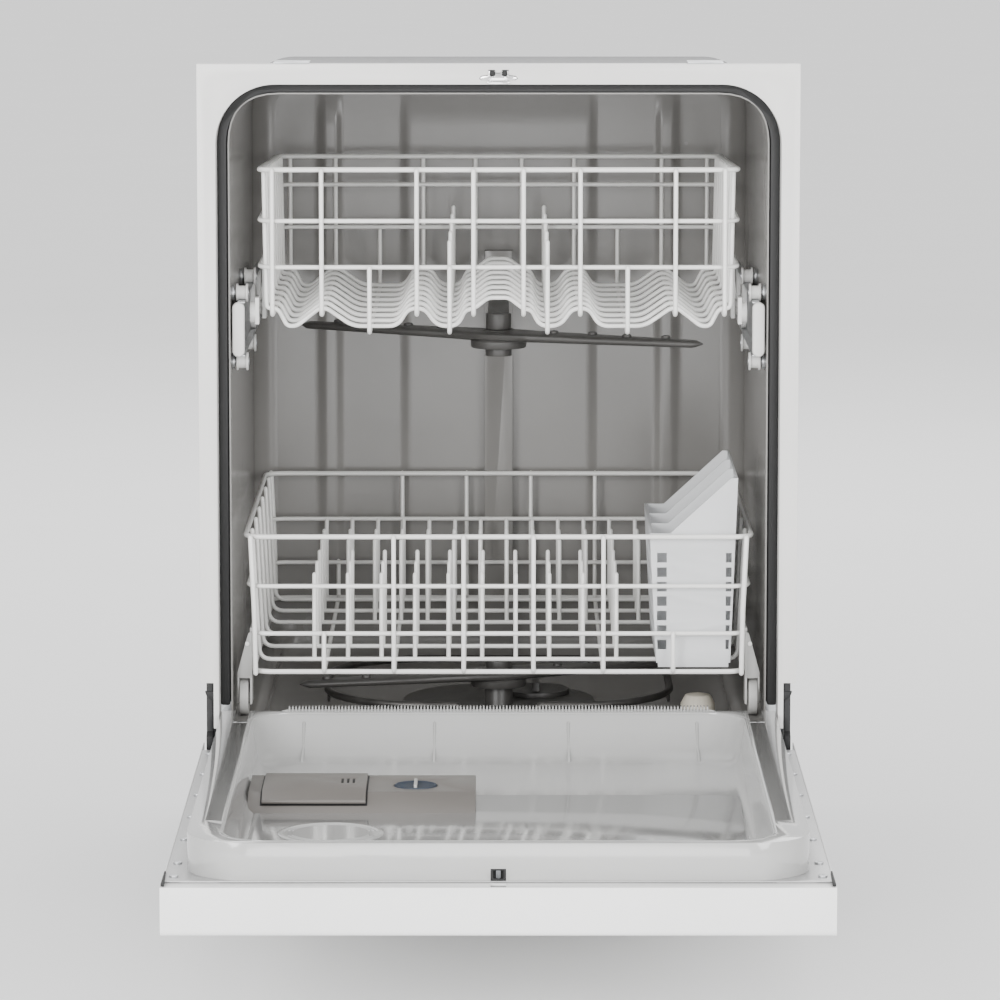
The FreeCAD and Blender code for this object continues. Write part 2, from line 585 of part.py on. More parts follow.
def make_liner():
    liner = new_body("door_liner")
    tip, heel, rim = "front - liner_front", "front + liner_back", "liner_rim_width"
    half = "(liner_half - liner_side_rim)"
    hollow = (f"{tip} + {rim} - 3", f"{heel} - {rim} + 5")
    pad(liner, "XY", "door_inner", "liner_rim", rectangle(("-liner_half", "liner_half"), (tip, heel)))
    pad(liner, "XY", "liner_floor - liner_wall", "door_inner", rectangle(
        (f"-({half} + liner_wall)", f"{half} + liner_wall"),
        (f"{hollow[0]} - liner_wall", f"{hollow[1]} + liner_wall")))
    pocket(liner, "XY", "liner_floor", "liner_rim", rectangle((f"-{half}", half), hollow))
    round_edges(liner, "Z", [(x, y) for x in (f"-{half}", half) for y in hollow], "liner_radius - 16")
    outer = (f"{hollow[0]} - liner_wall", f"{hollow[1]} + liner_wall")
    round_edges(liner, "Z", [(x, y) for x in (f"-({half} + liner_wall)", f"{half} + liner_wall")
                             for y in outer], "liner_radius - 16 + liner_wall")
    round_edges(liner, "Z", [("-liner_half", tip), ("liner_half", tip)], "liner_radius")
    for side in ("", "-"):
        pocket(liner, "XY", "door_inner", "liner_rim - liner_channel - liner_wall", rectangle(
            (f"{side}(liner_half - liner_wall)", f"{side}({half} + liner_wall)"),
            (f"{tip} + liner_radius", f"{heel} - liner_wall")))
        pocket(liner, "XY", "liner_rim - liner_channel", "liner_rim", rectangle(
            (f"{side}(liner_half - 14)", f"{side}({half} + 4.5)"), (f"{tip} + 107", heel)))
    pocket(liner, "XY", "door_inner", "door_inner + latch_mouth", rectangle(("-7", "7"), (tip, f"{tip} + 7")))
    under = "liner_floor - liner_wall"
    pocket(liner, "XY", under, "liner_floor", rectangle(
        ("dispenser_left + 6", "dispenser_right - 6"),
        ("front + dispenser_near + 6", "front + dispenser_far - 6")))
    pocket(liner, "XY", under, "liner_floor", ("vent_x", "front + vent_y", "44"))


def make_door_trim():
    teeth = [box("fringe_strip", ("-236", "236"), ("front + liner_back", "front + liner_back + 2.5"),
                 ("liner_rim - 6", "liner_rim + 4"))]
    for i in range(43):
        x = -214 + i * 10.2
        teeth.append(box(f"fringe_tooth_{i}", (str(x - 2.6), str(x + 2.6)),
                         ("front + liner_back + 2.5", "front + liner_back + 6"),
                         ("liner_rim - 1", "liner_rim + 4")))
    keep(fuse("fringe", *teeth), "splash_fringe")
    vent = new_body("door_vent")
    pad(vent, "XY", "liner_floor", "liner_floor + 3", ("vent_x", "front + vent_y", "50"))
    pocket(vent, "XY", "liner_floor", "liner_floor + 3", *[
        rectangle((f"vent_x - {w}", f"vent_x + {w}"), (f"front + vent_y + {y}", f"front + vent_y + {y} + 4"))
        for w, y in ((28, -32), (36, -18), (38, -4), (36, 10), (28, 24))])
    screws = []
    for side in (-1, 1):
        for spot in (40, 150, 260, 370, 480, 590, 650):
            head = Part.makeCylinder(4.2, 1.8, Vector(side * 292.5, back_of(-spot), mm("door_inner")))
            screws.append(head.cut(Part.makeBox(6, 1.2, 1, Vector(side * 292.5 - 3, back_of(-spot) - 0.6,
                                                                  mm("door_inner") + 1))))
    solid("door_screws", screws)


BUTTONS = {"cycle_button": -240, "options_button": -190, "start_button": -140}


def make_console():
    console = new_body("console")
    tip, near, low = "front - door_tip", "front - door_tip + console_length", "console_outer"
    lip = f"{tip} + console_lip"
    pad(console, "YZ", "-width / 2", "width / 2", [
        (tip, low), (near, low), (near, "console_shelf"), (lip, "console_shelf"), (lip, "console_top"),
        (tip, "console_top")])
    wall = "console_wall"
    across = (f"-width / 2 + {wall}", f"width / 2 - {wall}")
    pocket(console, "XY", f"{low} + {wall}", "console_shelf", rectangle(across, (lip, f"{near} - {wall}")))
    pocket(console, "XZ", f"{tip} + {wall}", lip, rectangle(across, (f"{low} + {wall}",
                                                                   f"console_top - {wall}")))
    pocket(console, "XY", f"console_top - {wall}", "console_top", rectangle(
        ("-7", "7"), (f"{tip} + 5", f"{tip} + 19")))
    pad(console, "XY", low, f"{low} + 27", rectangle(("-108", "108"), (f"{near} - 50", f"{near} - 4")))
    pocket(console, "XY", low, f"{low} + 24.4", rectangle(("-105", "105"), (f"{near} - 47", f"{near} - 7")))
    holes = [rectangle((f"{x} - 13", f"{x} + 13"), (f"{tip} + 40", f"{tip} + 54")) for x in BUTTONS.values()]
    pocket(console, "XY", low, f"{low} + {wall}", *holes)
    round_edges(console, "X", [(tip, low)], "5")


def make_console_parts():
    tip, low, wall = "front - door_tip", "console_outer", "console_wall"
    for label, x in BUTTONS.items():
        cap = new_body(label)
        pad(cap, "XY", f"{low} - 0.6", f"{low} + {wall} + 1", rectangle(
            (f"{x} - 12.7", f"{x} + 12.7"), (f"{tip} + 40.3", f"{tip} + 53.7")))
        pad(cap, "XY", f"{low} + {wall} + 0.2", f"{low} + {wall} + 1.8", rectangle(
            (f"{x} - 14.5", f"{x} + 14.5"), (f"{tip} + 38", f"{tip} + 56")))
    board = box("board_plate", ("-262", "-118"), (f"{tip} + 34", f"{tip} + 60"),
                (f"{low} + 12", f"{low} + 13.6"))
    chips = [box(f"board_switch_{i}", (f"{x} - 4", f"{x} + 4"), (f"{tip} + 43", f"{tip} + 51"),
                 (f"{low} + 7", f"{low} + 12")) for i, x in enumerate(BUTTONS.values())]
    posts = [box(f"board_post_{i}", (f"{x} - 3", f"{x} + 3"), (f"{tip} + 44", f"{tip} + 50"),
                 (f"{low} + {wall}", f"{low} + 12")) for i, x in enumerate((-258, -122))]
    keep(fuse("board", board, *chips, *posts), "control_board")


def make_latch():
    tip = "front - door_tip"
    case = box("latch_case", ("-16", "16"), (f"{tip} + 4", f"{tip} + 20"),
               ("126", "console_top - console_wall - 0.2"))
    throat = box("latch_throat", ("-6.6", "6.6"), (f"{tip} + 5", f"{tip} + 19"), ("140", "170"))
    near, low = "front - liner_front", "door_inner"
    mouth = box("latch_mouth_block", ("-6.8", "6.8"), (f"{near} + 0.2", f"{near} + 6.8"),
                (f"{low} + 0.2", f"{low} + latch_mouth - 0.2"))
    recess = box("latch_mouth_recess", ("-4.6", "4.6"), (f"{near} - 1", f"{near} + 4"),
                 (f"{low} + 2", f"{low} + latch_mouth - 1.8"))
    keep(group("latch_parts", cut("latch_box", case, throat), cut("latch_mouth_cut", mouth, recess)),
         "latch_housing")
    hook = fuse("hook_body", rod("hook_eye", "2.6", "X", ("-2", f"{tip} + 8", "146"), "4"),
                box("hook_blade", ("-2", "2"), (f"{tip} + 7", f"{tip} + 9"), ("146", "160")))
    keep(hook, "latch_hook")


def make_dispenser():
    """A wedge-fronted case whose detergent lid turns on a barrel along its near edge."""
    left, right = "dispenser_left", "dispenser_right"
    near, far = "front + dispenser_near", "front + dispenser_far"
    base, top = "liner_floor", "liner_floor + dispenser_height"
    case = new_body("dispenser_body")
    pad(case, "YZ", left, right, [(near, base), (far, base), (far, top), (f"{near} + 36", top),
                                  (near, f"{base} + 2")])
    pad(case, "XY", f"{base} - 26", base, rectangle((f"{left} + 8", f"{right} - 8"),
                                                   (f"{near} + 8", f"{far} - 8")))
    pocket(case, "XY", f"{base} - 22", top, rectangle(("-224", "-133"), (f"{near} + 41", f"{far} - 12")))
    pocket(case, "XY", f"{base} + 8", top, ("dial_x", "front + dial_y", "21.4"))
    plate = new_part("lid_plate")
    pad(plate, "YZ", "-228", "-128", [
        (f"{near} + 15.9", f"{base} + 8.5"), (f"{near} + 35.9", f"{top} + 0.3"),
        (f"{far} - 6", f"{top} + 0.3"), (f"{far} - 6", f"{top} + 3.1"),
        (f"{near} + 35", f"{top} + 3.1"), (f"{near} + 14.8", f"{base} + 11.2")])
    pocket(plate, "XY", f"{top} + 1.6", f"{top} + 4", *[
        rectangle((f"{x}", f"{x} + 2.4"), (f"{far} - 58", f"{far} - 34")) for x in (-153, -147.5, -142)])
    barrel = rod("lid_barrel", "2.2", "X", ("-228", f"{near} + 15.1", f"{base} + 10.5"), "100")
    keep(fuse("lid", plate, barrel), "detergent_lid")
    cap = fuse("cap_body", rod("cap_disc", "20.8", "Z", ("dial_x", "front + dial_y", f"{base} + 8.3"), "8.5"),
               box("cap_grip", ("dial_x - 1.6", "dial_x + 1.6"),
                   ("front + dial_y - 19", "front + dial_y + 19"), (f"{base} + 16.8", f"{base} + 19.5")))
    keep(cap, "rinse_cap")


# ---------------------------------------------------------------- upper rack and its slides
def make_rails():
    rail = new_part("upper_rail_right")
    pad(rail, "XZ", "front + rail_front", "front + rail_front + rail_length", [
        ("rail_inner", "rail_low"), ("rail_outer", "rail_low"), ("rail_outer", "rail_high"),
        ("rail_inner", "rail_high"), ("rail_inner", "rail_high - 1.8"),
        ("rail_outer - 1.6", "rail_high - 1.8"), ("rail_outer - 1.6", "rail_low + 1.8"),
        ("rail_inner", "rail_low + 1.8")])
    keep(both_sides("rails", rail), "upper_rails")
    middle = "(rail_low + rail_high) / 2"
    cap = fuse("rail_cap",
               box("cap_block", ("257.6", "270.4"), ("front + rail_front - 6.5", "front + rail_front"),
                   (f"{middle} - 21.6", f"{middle} + 21.6")),
               rod("cap_upper", "6.4", "Y", ("264", "front + rail_front - 6.5", f"{middle} + 21.6"), "6.5"),
               rod("cap_lower", "6.4", "Y", ("264", "front + rail_front - 6.5", f"{middle} - 21.6"), "6.5"))
    keep(both_sides("rail_cap_pair", cap), "rail_caps")


def spool(name, y, z):
    """A tub roller: a drum between two flanges, bored for its pin."""
    drum = rod(name + "_drum", "roller_drum", "X", ("rail_inner - 0.3", y, z),
               "rail_outer - rail_inner + 0.6")
    inner = rod(name + "_inner", "roller_flange", "X", ("rail_inner - 2.4", y, z), "2.1")
    outer = rod(name + "_outer", "roller_flange", "X", ("rail_outer + 0.3", y, z), "2")
    bore = rod(name + "_bore", "roller_bore", "X", ("rail_inner - 3", y, z), "20")
    return both_sides(name + "_pair", cut(name + "_cut", fuse(name + "_solid", drum, inner, outer), bore))


def make_rollers():
    upper, lower = "rail_high + roller_drum + 0.2", "rail_low - roller_drum - 0.2"
    pins = []
    for place, y in (("front", "front + roller_front"), ("rear", "front + roller_rear")):
        for level, z in (("upper", upper), ("lower", lower)):
            label = f"tub_roller_{place}_{level}"
            keep(spool(label, y, z), label)
            pin = rod(f"pin_{place}_{level}", "axle", "X", ("rail_inner - 3.2", y, z),
                      "tub_half - rail_inner + 3.2")
            plate = rod(f"pin_plate_{place}_{level}", "8", "X", ("tub_half - 3", y, z), "3")
            pins.append(fuse(f"pin_set_{place}_{level}", pin, plate))
    keep(both_sides("all_pins", group("right_pins", *pins)), "roller_pins")


def rack_wheel(label, y):
    middle = "(rail_low + rail_high) / 2"
    wheel = rod(label + "_disc", "rack_wheel", "X", ("rail_inner + 0.5", y, middle), "4.8")
    hub = rod(label + "_hub", "9", "X", ("rail_inner - 3", y, middle), "3.5")
    bore = rod(label + "_bore", "wheel_bore", "X", ("rail_inner - 4", y, middle), "20")
    keep(both_sides(label + "_pair", cut(label + "_cut", fuse(label + "_solid", wheel, hub), bore)), label)


def make_upper_carriers():
    middle = "(rail_low + rail_high) / 2"
    carriers = []
    for i, y in enumerate(("front + rack_wheel_front", "front + rack_wheel_rear")):
        plate = box(f"carrier_plate_{i}", ("upper_half + 5", "upper_half + 9"), (f"{y} - 16", f"{y} + 16"),
                    ("rail_low + 14", "upper_third - 12"))
        axle = rod(f"carrier_axle_{i}", "axle", "X", ("upper_half + 8", y, middle),
                   "rail_inner + 5.4 - upper_half - 8")
        hook = box(f"carrier_hook_{i}", ("upper_half + 2.3", "upper_half + 5"), (f"{y} - 16", f"{y} + 16"),
                   ("upper_third - 22", "upper_third - 12"))
        carriers.append(fuse(f"carrier_{i}", plate, axle, hook))
    guide = fuse("front_guide",
                 box("guide_plate", ("upper_half + 2.3", "upper_half + 6"), ("front + 48", "front + 70"),
                     (f"{middle} + 4", f"{middle} + 31")),
                 rod("guide_hub", "11", "X", ("upper_half + 2.3", "front + 59", f"{middle} + 15"), "9"))
    keep(both_sides("carriers", group("right_carriers", *carriers, guide)), "upper_rack_carriers")


WAVE = [(0, 11), (10.6, 11), (25, 0), (34, -2), (42, -18), (62.4, -18), (75.5, 0), (92, 0), (103, -18),
        (148.6, -18), (175, 0), (183, 0), (206, -18), (215.5, -18), (225, 0), (237, 0)]
UPPER_FULL = (25.4, 83, 179.5, 229.5)
UPPER_SHORT = (49.7, 131)


def make_upper_rack():
    rim, thin = mm("rim_wire"), mm("thin_wire")
    near, far = back_of(mm("upper_front")), back_of(mm("upper_back"))
    half, floor = mm("upper_half"), mm("upper_floor")
    wires = []
    levels = [(mm("upper_rim"), mm("upper_back_rim"), rim), (mm("upper_second"),) * 2 + (thin,),
              (mm("upper_third"),) * 2 + (thin,)]
    for front_z, back_z, radius in levels:
        wires.append(wire((-half - radius, near, front_z), (half + radius, near, front_z), radius))
        wires.append(wire((-half - radius, far, back_z), (half + radius, far, back_z), radius))
        for x in (-half, half):
            wires.append(wire((x, near + radius, front_z), (x, far - radius, back_z), radius))
    step = rim + thin + 0.05
    for x in [side * x for x in UPPER_FULL + UPPER_SHORT for side in (-1, 1)]:
        dip = 0 if abs(x) in UPPER_FULL else mm("upper_dip")
        base = floor - dip - 2 * thin - 0.05
        top = mm("upper_rim") if abs(x) in UPPER_FULL else mm("upper_third")
        back_top = min(top, mm("upper_back_rim"))
        wires.append(wire((x, near - step - thin, base), (x, far + step + thin, base), thin))
        wires.append(wire((x, near - step, base + thin + 0.05), (x, near - step, top), thin))
        wires.append(wire((x, far + step, base + thin + 0.05), (x, far + step, back_top), thin))
    crossings = 9
    wave = [(-x, z) for x, z in reversed(WAVE)] + WAVE[1:]
    for i in range(crossings):
        y = near + 22 + i * (far - near - 44) / (crossings - 1)
        wires.append(bent_wire([(x, y, floor + z) for x, z in wave], thin))
        for x in (-half + step, half - step):
            wires.append(wire((x, y, floor + thin + 0.1), (x, y, mm("upper_third") + thin), thin))
        if i % 2 == 0:
            for x in (-49.7, 49.7):
                wires.append(wire((x, y, floor - mm("upper_dip") + thin + 0.05), (x, y, floor + 70), thin))
    solid("upper_rack", wires)


def make_manifold():
    centre, base = "front + arm_centre", "upper_floor - upper_dip"
    hub = rod("manifold_hub", "13.5", "Z", ("0", centre, "upper_arm_height + 12.6"),
              f"{base} - 8 - upper_arm_height - 12.6")
    pipe = box("manifold_pipe", ("-11", "11"), (centre, "front + depth - 42"),
               (f"{base} - 20", f"{base} - 7"))
    stem = rod("manifold_stem", "arm_bore - 0.3", "Z", ("0", centre, "upper_arm_height - 12"), "26")
    flange = rod("manifold_nut", "14", "Z", ("0", centre, "upper_arm_height - 16"), "8.6")
    keep(fuse("manifold", hub, pipe, stem, flange), "upper_manifold")


# ---------------------------------------------------------------- lower rack
LOWER_RUNS = (35.75, 107.25, 178.75, 250)


def make_lower_rack():
    rim, thin = mm("rim_wire"), mm("thin_wire")
    near, far = back_of(mm("lower_front")), back_of(mm("lower_back"))
    floor, top = mm("lower_floor"), mm("lower_rim")
    low_half, high_half = mm("lower_foot_half"), mm("lower_half")
    wires = []

    def half_at(z):
        return low_half + (high_half - low_half) * (z - floor) / (top - floor)

    for z, radius in ((top, rim), (mm("lower_second"), thin), (mm("lower_third"), thin), (floor - 4.6, rim)):
        half = half_at(z)
        for y in (near, far):
            wires.append(wire((-half - radius, y, z), (half + radius, y, z), radius))
        for x in (-half, half):
            wires.append(wire((x, near + radius, z), (x, far - radius, z), radius))
    step = rim + thin + 0.05
    for x in [side * x for x in LOWER_RUNS for side in (-1, 1)]:
        base = floor - 2 * thin - 0.1
        end = mm("lower_third") if abs(x) == LOWER_RUNS[2] else top
        if abs(x) != LOWER_RUNS[3]:
            wires.append(wire((x, near - step - thin, base), (x, far + step + thin, base), thin))
        for y in (near - step, far + step):
            wires.append(wire((x, y, base + thin + 0.05), (x, y, end), thin))
    rows = [51, 134, 214, 294, 374, 454]
    for i, behind in enumerate(rows):
        y = near + behind
        wires.append(wire((-low_half + 3, y, floor), (low_half - 3, y, floor), thin))
        for side in (-1, 1):
            wires.append(wire((side * (low_half - rim - thin - 0.1), y, floor + thin + 0.05),
                              (side * (half_at(top) - rim - thin - 0.1), y, top), thin))
    tine_rows = [(mm("lower_front") + behind, count) for behind, count in
                 ((51, 10), (134, 10), (214, 10), (294, 14), (374, 14), (454, 14))]
    for behind, count in tine_rows:
        for k in range(count):
            x = -190.5 + k * mm("tine_pitch") * (1 if count == 10 else 0.82)
            spot = back_of(behind)
            tip = floor + mm("tine_height")
            wires.append(wire((x, spot, floor + thin + 0.05), (x, spot + 10, tip), thin))
    solid("lower_rack", wires)


def lower_wheel(label, y):
    z = "ledge_top + lower_wheel + 0.3"
    tyre = rod(label + "_disc", "lower_wheel", "X", ("257", y, z), "9")
    hub = rod(label + "_hub", "9", "X", ("254.6", y, z), "2.4")
    bore = rod(label + "_bore", "wheel_bore", "X", ("250", y, z), "20")
    keep(both_sides(label + "_pair", cut(label + "_cut", fuse(label + "_solid", tyre, hub), bore)), label)


def make_lower_carriers():
    z = "ledge_top + lower_wheel + 0.3"
    carriers = []
    for i, y in enumerate(("front + lower_wheel_front", "front + lower_wheel_rear")):
        plate = box(f"lower_plate_{i}", ("lower_foot_half - 4.6 + 6", "lower_foot_half + 2.4"),
                    (f"{y} - 13", f"{y} + 13"), ("liner_rim + 1.2", "lower_floor - 7.4"))
        axle = rod(f"lower_axle_{i}", "axle", "X", ("lower_foot_half + 1", y, z),
                   "266.5 - lower_foot_half - 1")
        carriers.append(fuse(f"lower_carrier_{i}", plate, axle))
    keep(both_sides("lower_carriers", group("right_lower_carriers", *carriers)), "lower_rack_carriers")


def make_basket():
    basket = new_part("basket_shell")
    left, right, foot = "basket_left", "basket_right", "basket_foot"
    near, far, wall, taper = "front + basket_front", "front + basket_back", "basket_wall", "basket_taper"
    pad(basket, "XZ", near, far, [
        (f"{left} + {taper}", foot), (f"{right} - {taper}", foot), (right, "basket_high"),
        (f"{right} - {taper}", "basket_high"), (f"{left} + 21", "basket_low"), (left, "basket_low")])
    bays = 3
    span = f"(basket_back - basket_front - {wall}) / {bays}"
    for i in range(bays):
        pocket(basket, "XZ", f"{near} + {wall} + {i} * {span}", f"{near} + {i + 1} * {span}", [
            (f"{left} + {taper} + {wall}", f"{foot} + {wall}"),
            (f"{right} - {taper} - {wall}", f"{foot} + {wall}"),
            (f"{right} - {wall}", "basket_high + 1"), (f"{left} + {wall} - 1", "basket_high + 1")])
    slots = []
    for column, (offset, half) in enumerate(((12.5, 5), (81, 3))):
        for row in range(7):
            low = f"{foot} + 14 + {row} * 15"
            slots.append(box(f"slot_{column}_{row}",
                             (f"{left} + {offset - half}", f"{left} + {offset + half}"),
                             (f"{near} - 1", f"{near} + {wall}"), (low, f"{low} + 10")))
    for column in range(12):
        along = f"{near} + 10 + {column} * 18 + {column // 4} * 2"
        for row in range(4):
            low = f"{foot} + 14 + {row} * 26"
            slots.append(box(f"side_slot_{column}_{row}", (f"{left} - 1", f"{left} + {taper} + {wall}"),
                             (along, f"{along} + 9"), (low, f"{low} + 20")))
    skirt = box("basket_skirt", (f"{left} + {taper} + 2", f"{right} - {taper} - 2"),
                (near, f"{near} + 36"), ("238.3", foot))
    keep(fuse("basket", cut("basket_cut", basket, *slots), skirt), "silverware_basket")


def write_parts():
    doc.recompute()
    faults = [piece.Name for piece in doc.Objects if {"Invalid", "Error"} & set(piece.State)]
    for piece in KEPT:
        if piece.Shape.isNull() or not piece.Shape.isValid():
            faults.append(piece.Label + " (shape)")
    if faults:
        raise ValueError("failed: " + ", ".join(faults))
    os.makedirs("parts", exist_ok=True)
    for piece in KEPT:
        piece.Shape.exportStep(os.path.join("parts", piece.Label + ".step"))
    print(f"{len(KEPT)} parts written")


make_tub()
make_front_frame()
make_door_gasket()
make_door_strike()
make_sound_blanket()
make_base()
make_feet()
make_toe_panel()
make_counter_brackets()
make_sump()
make_pumps()
make_inlet_valve()
make_junction_box()
make_heating_element()
make_filters()
make_feed_tube()
make_float()
make_spray_arm("lower_spray_arm", "lower_arm_height", "lower_arm_length", 20)
make_spray_arm("upper_spray_arm", "upper_arm_height", "upper_arm_length", -25.5)
make_hinges()
make_springs()
make_door()
make_liner()
make_door_trim()
make_console()
make_console_parts()
make_latch()
make_dispenser()
make_rails()
make_rollers()
rack_wheel("upper_wheels_front", "front + rack_wheel_front")
rack_wheel("upper_wheels_rear", "front + rack_wheel_rear")
make_upper_carriers()
make_upper_rack()
make_manifold()
make_lower_rack()
lower_wheel("lower_wheels_front", "front + lower_wheel_front")
lower_wheel("lower_wheels_rear", "front + lower_wheel_rear")
make_lower_carriers()
make_basket()
write_parts()
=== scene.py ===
import json
import math

import bmesh
import bpy
import numpy as np
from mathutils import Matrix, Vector


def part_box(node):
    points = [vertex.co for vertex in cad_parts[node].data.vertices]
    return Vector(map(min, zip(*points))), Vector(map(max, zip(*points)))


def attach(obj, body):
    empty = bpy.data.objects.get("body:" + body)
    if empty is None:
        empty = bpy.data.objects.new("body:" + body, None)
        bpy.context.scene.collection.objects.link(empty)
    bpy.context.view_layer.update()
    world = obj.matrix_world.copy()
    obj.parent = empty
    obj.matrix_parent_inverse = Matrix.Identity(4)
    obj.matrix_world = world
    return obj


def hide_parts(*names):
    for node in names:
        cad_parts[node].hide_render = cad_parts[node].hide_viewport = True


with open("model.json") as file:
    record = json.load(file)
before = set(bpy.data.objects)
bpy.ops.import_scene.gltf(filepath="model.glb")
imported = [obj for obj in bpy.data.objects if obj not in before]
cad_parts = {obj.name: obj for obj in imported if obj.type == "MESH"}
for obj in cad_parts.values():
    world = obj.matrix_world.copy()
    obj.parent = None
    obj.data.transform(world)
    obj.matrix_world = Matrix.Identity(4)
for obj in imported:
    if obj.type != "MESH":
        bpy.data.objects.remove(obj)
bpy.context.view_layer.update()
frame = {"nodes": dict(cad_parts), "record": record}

# ------------------------------------------------------------------ places taken from the frame
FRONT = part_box("front_frame")[0][1]      # Y of the flange's face
TUB_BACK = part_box("tub")[1][1]           # Y of the tub's back wall, outside
LINER_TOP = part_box("door_liner")[1][2]   # Z of the open door's liner, at its rim
BASIN_FLOOR = LINER_TOP - 0.041
BODY_OF = {node: body for body, nodes in frame["record"]["behaviour"]["bodies"].items() for node in nodes}
MM = 0.001


def behind(distance):
    """Y at a distance in millimetres behind the flange's face."""
    return FRONT + distance * MM


# ------------------------------------------------------------------ camera, lights and floor
def make_camera():
    """A long lens well in front of the open door, a little above it and tipped down."""
    data = bpy.data.cameras.new("camera")
    data.sensor_width = 36
    data.lens = 196.4
    camera = bpy.data.objects.new("camera", data)
    camera.location = (0.0015, FRONT - 5.476, 1.164)
    camera.rotation_euler = (math.radians(90 - 7.746), 0, 0)
    bpy.context.collection.objects.link(camera)
    bpy.context.scene.camera = camera


def area_light(name, place, aim, size, power):
    """A round area light, its size in metres and its power in watts, turned towards a point."""
    data = bpy.data.lights.new(name, "AREA")
    data.shape = "DISK"
    data.size = size
    data.energy = power
    light = bpy.data.objects.new(name, data)
    light.location = place
    light.rotation_euler = (Vector(aim) - Vector(place)).to_track_quat("-Z", "Y").to_euler()
    bpy.context.collection.objects.link(light)


def make_studio():
    """Soft lights on both sides, a low one into the tub, one behind, and a pale floor."""
    area_light("key", (-2.3, -4.3, 1.7), (0, 0, 0.45), 2.2, 175)
    area_light("fill", (2.5, -4.4, 1.5), (0, 0, 0.45), 2.2, 120)
    area_light("front", (0, -3.4, 0.12), (0, 0.5, 0.72), 1.2, 26)
    area_light("back", (0.4, 3.4, 3.2), (0, 0, 0.5), 3.0, 80)
    world = bpy.data.worlds.new("studio")
    bpy.context.scene.world = world
    world.use_nodes = True
    sky = world.node_tree.nodes["Background"]
    sky.inputs["Color"].default_value = (1, 1, 1, 1)
    sky.inputs["Strength"].default_value = 1.3
    floor_mesh = bpy.data.meshes.new("floor")
    reach = 40
    floor_mesh.from_pydata([(-reach, -reach, 0), (reach, -reach, 0), (reach, reach, 0), (-reach, reach, 0)],
                           [], [(0, 1, 2, 3)])
    floor = bpy.data.objects.new("floor", floor_mesh)
    bpy.context.collection.objects.link(floor)
    pale = surface("floor", (0.97, 0.97, 0.97), 0.8, mottle=(3, 0.008), grain=(200, 0.02))
    floor_mesh.materials.append(pale)


# ------------------------------------------------------------------ materials
def surface(name, color, roughness, mottle=(6, 0.04), grain=(900, 0.05), metallic=0.0, coat=0.0,
            brushed=None, smudge=0.06, sheen=0.0):
    """A node material: patchy colour, uneven roughness and a fine surface grain.

    mottle and grain are (scale, amount); brushed stretches the grain along one axis."""
    made = bpy.data.materials.new(name)
    made.use_nodes = True
    tree = made.node_tree
    shader = tree.nodes["Principled BSDF"]
    shader.inputs["Metallic"].default_value = metallic
    shader.inputs["Coat Weight"].default_value = coat
    shader.inputs["Coat Roughness"].default_value = 0.08
    shader.inputs["Sheen Weight"].default_value = sheen
    place = tree.nodes.new("ShaderNodeTexCoord")
    stretch = tree.nodes.new("ShaderNodeMapping")
    if brushed:
        stretch.inputs["Scale"].default_value = [0.03 if axis == brushed else 1 for axis in "XYZ"]
    tree.links.new(place.outputs["Object"], stretch.inputs["Vector"])
    patches = tree.nodes.new("ShaderNodeTexNoise")
    patches.inputs["Scale"].default_value = mottle[0]
    patches.inputs["Detail"].default_value = 4
    tree.links.new(place.outputs["Object"], patches.inputs["Vector"])
    tint = tree.nodes.new("ShaderNodeValToRGB")
    tint.color_ramp.elements[0].position = 0.3
    tint.color_ramp.elements[1].position = 0.7
    tint.color_ramp.elements[0].color = [c * (1 - mottle[1]) for c in color] + [1]
    tint.color_ramp.elements[1].color = [min(1, c * (1 + mottle[1])) for c in color] + [1]
    tree.links.new(patches.outputs["Fac"], tint.inputs["Fac"])
    tree.links.new(tint.outputs["Color"], shader.inputs["Base Color"])
    fine = tree.nodes.new("ShaderNodeTexNoise")
    fine.inputs["Scale"].default_value = grain[0]
    fine.inputs["Detail"].default_value = 3
    tree.links.new(stretch.outputs["Vector"], fine.inputs["Vector"])
    bump = tree.nodes.new("ShaderNodeBump")
    bump.inputs["Strength"].default_value = min(1, grain[1] * 4)
    bump.inputs["Distance"].default_value = 0.0002
    tree.links.new(fine.outputs["Fac"], bump.inputs["Height"])
    tree.links.new(bump.outputs["Normal"], shader.inputs["Normal"])
    haze = tree.nodes.new("ShaderNodeMapRange")
    haze.inputs["To Min"].default_value = max(0.02, roughness - smudge)
    haze.inputs["To Max"].default_value = min(1, roughness + smudge)
    tree.links.new(patches.outputs["Fac"], haze.inputs["Value"])
    tree.links.new(haze.outputs["Result"], shader.inputs["Roughness"])
    return made


ENAMEL = surface("flange_enamel", (0.80, 0.79, 0.77), 0.38, grain=(500, 0.03), coat=0.2)
DOOR_PAINT = surface("door_enamel", (0.86, 0.86, 0.85), 0.3, grain=(500, 0.03), coat=0.3)
CONSOLE = surface("console_plastic", (0.92, 0.92, 0.91), 0.36, grain=(1400, 0.06))
LINER = surface("liner_plastic", (0.45, 0.45, 0.443), 0.13, mottle=(5, 0.03), grain=(300, 0.015), coat=0.5)
# The liner plastic darkened for the basin's floor plate: painted shade and painted reflection of the dark
# tub, not a different plastic.
SHADED_LINER_FLOOR = surface("liner_floor_painted_shade", (0.27, 0.27, 0.266), 0.11, mottle=(5, 0.04), grain=(300, 0.012),
                      coat=0.5)
TUB = surface("tub_plastic", (0.25, 0.243, 0.232), 0.24, mottle=(4, 0.07), grain=(700, 0.03), smudge=0.1)
RUBBER = surface("gasket_rubber", (0.014, 0.014, 0.0145), 0.55, grain=(1200, 0.12))
VINYL = surface("rack_vinyl", (0.90, 0.895, 0.87), 0.3, mottle=(30, 0.03), grain=(500, 0.05), coat=0.25)
WHITE = surface("white_nylon", (0.74, 0.735, 0.72), 0.45, mottle=(25, 0.04), grain=(1500, 0.06))
GREY = surface("grey_nylon", (0.46, 0.458, 0.445), 0.42, mottle=(20, 0.05), grain=(1500, 0.08))
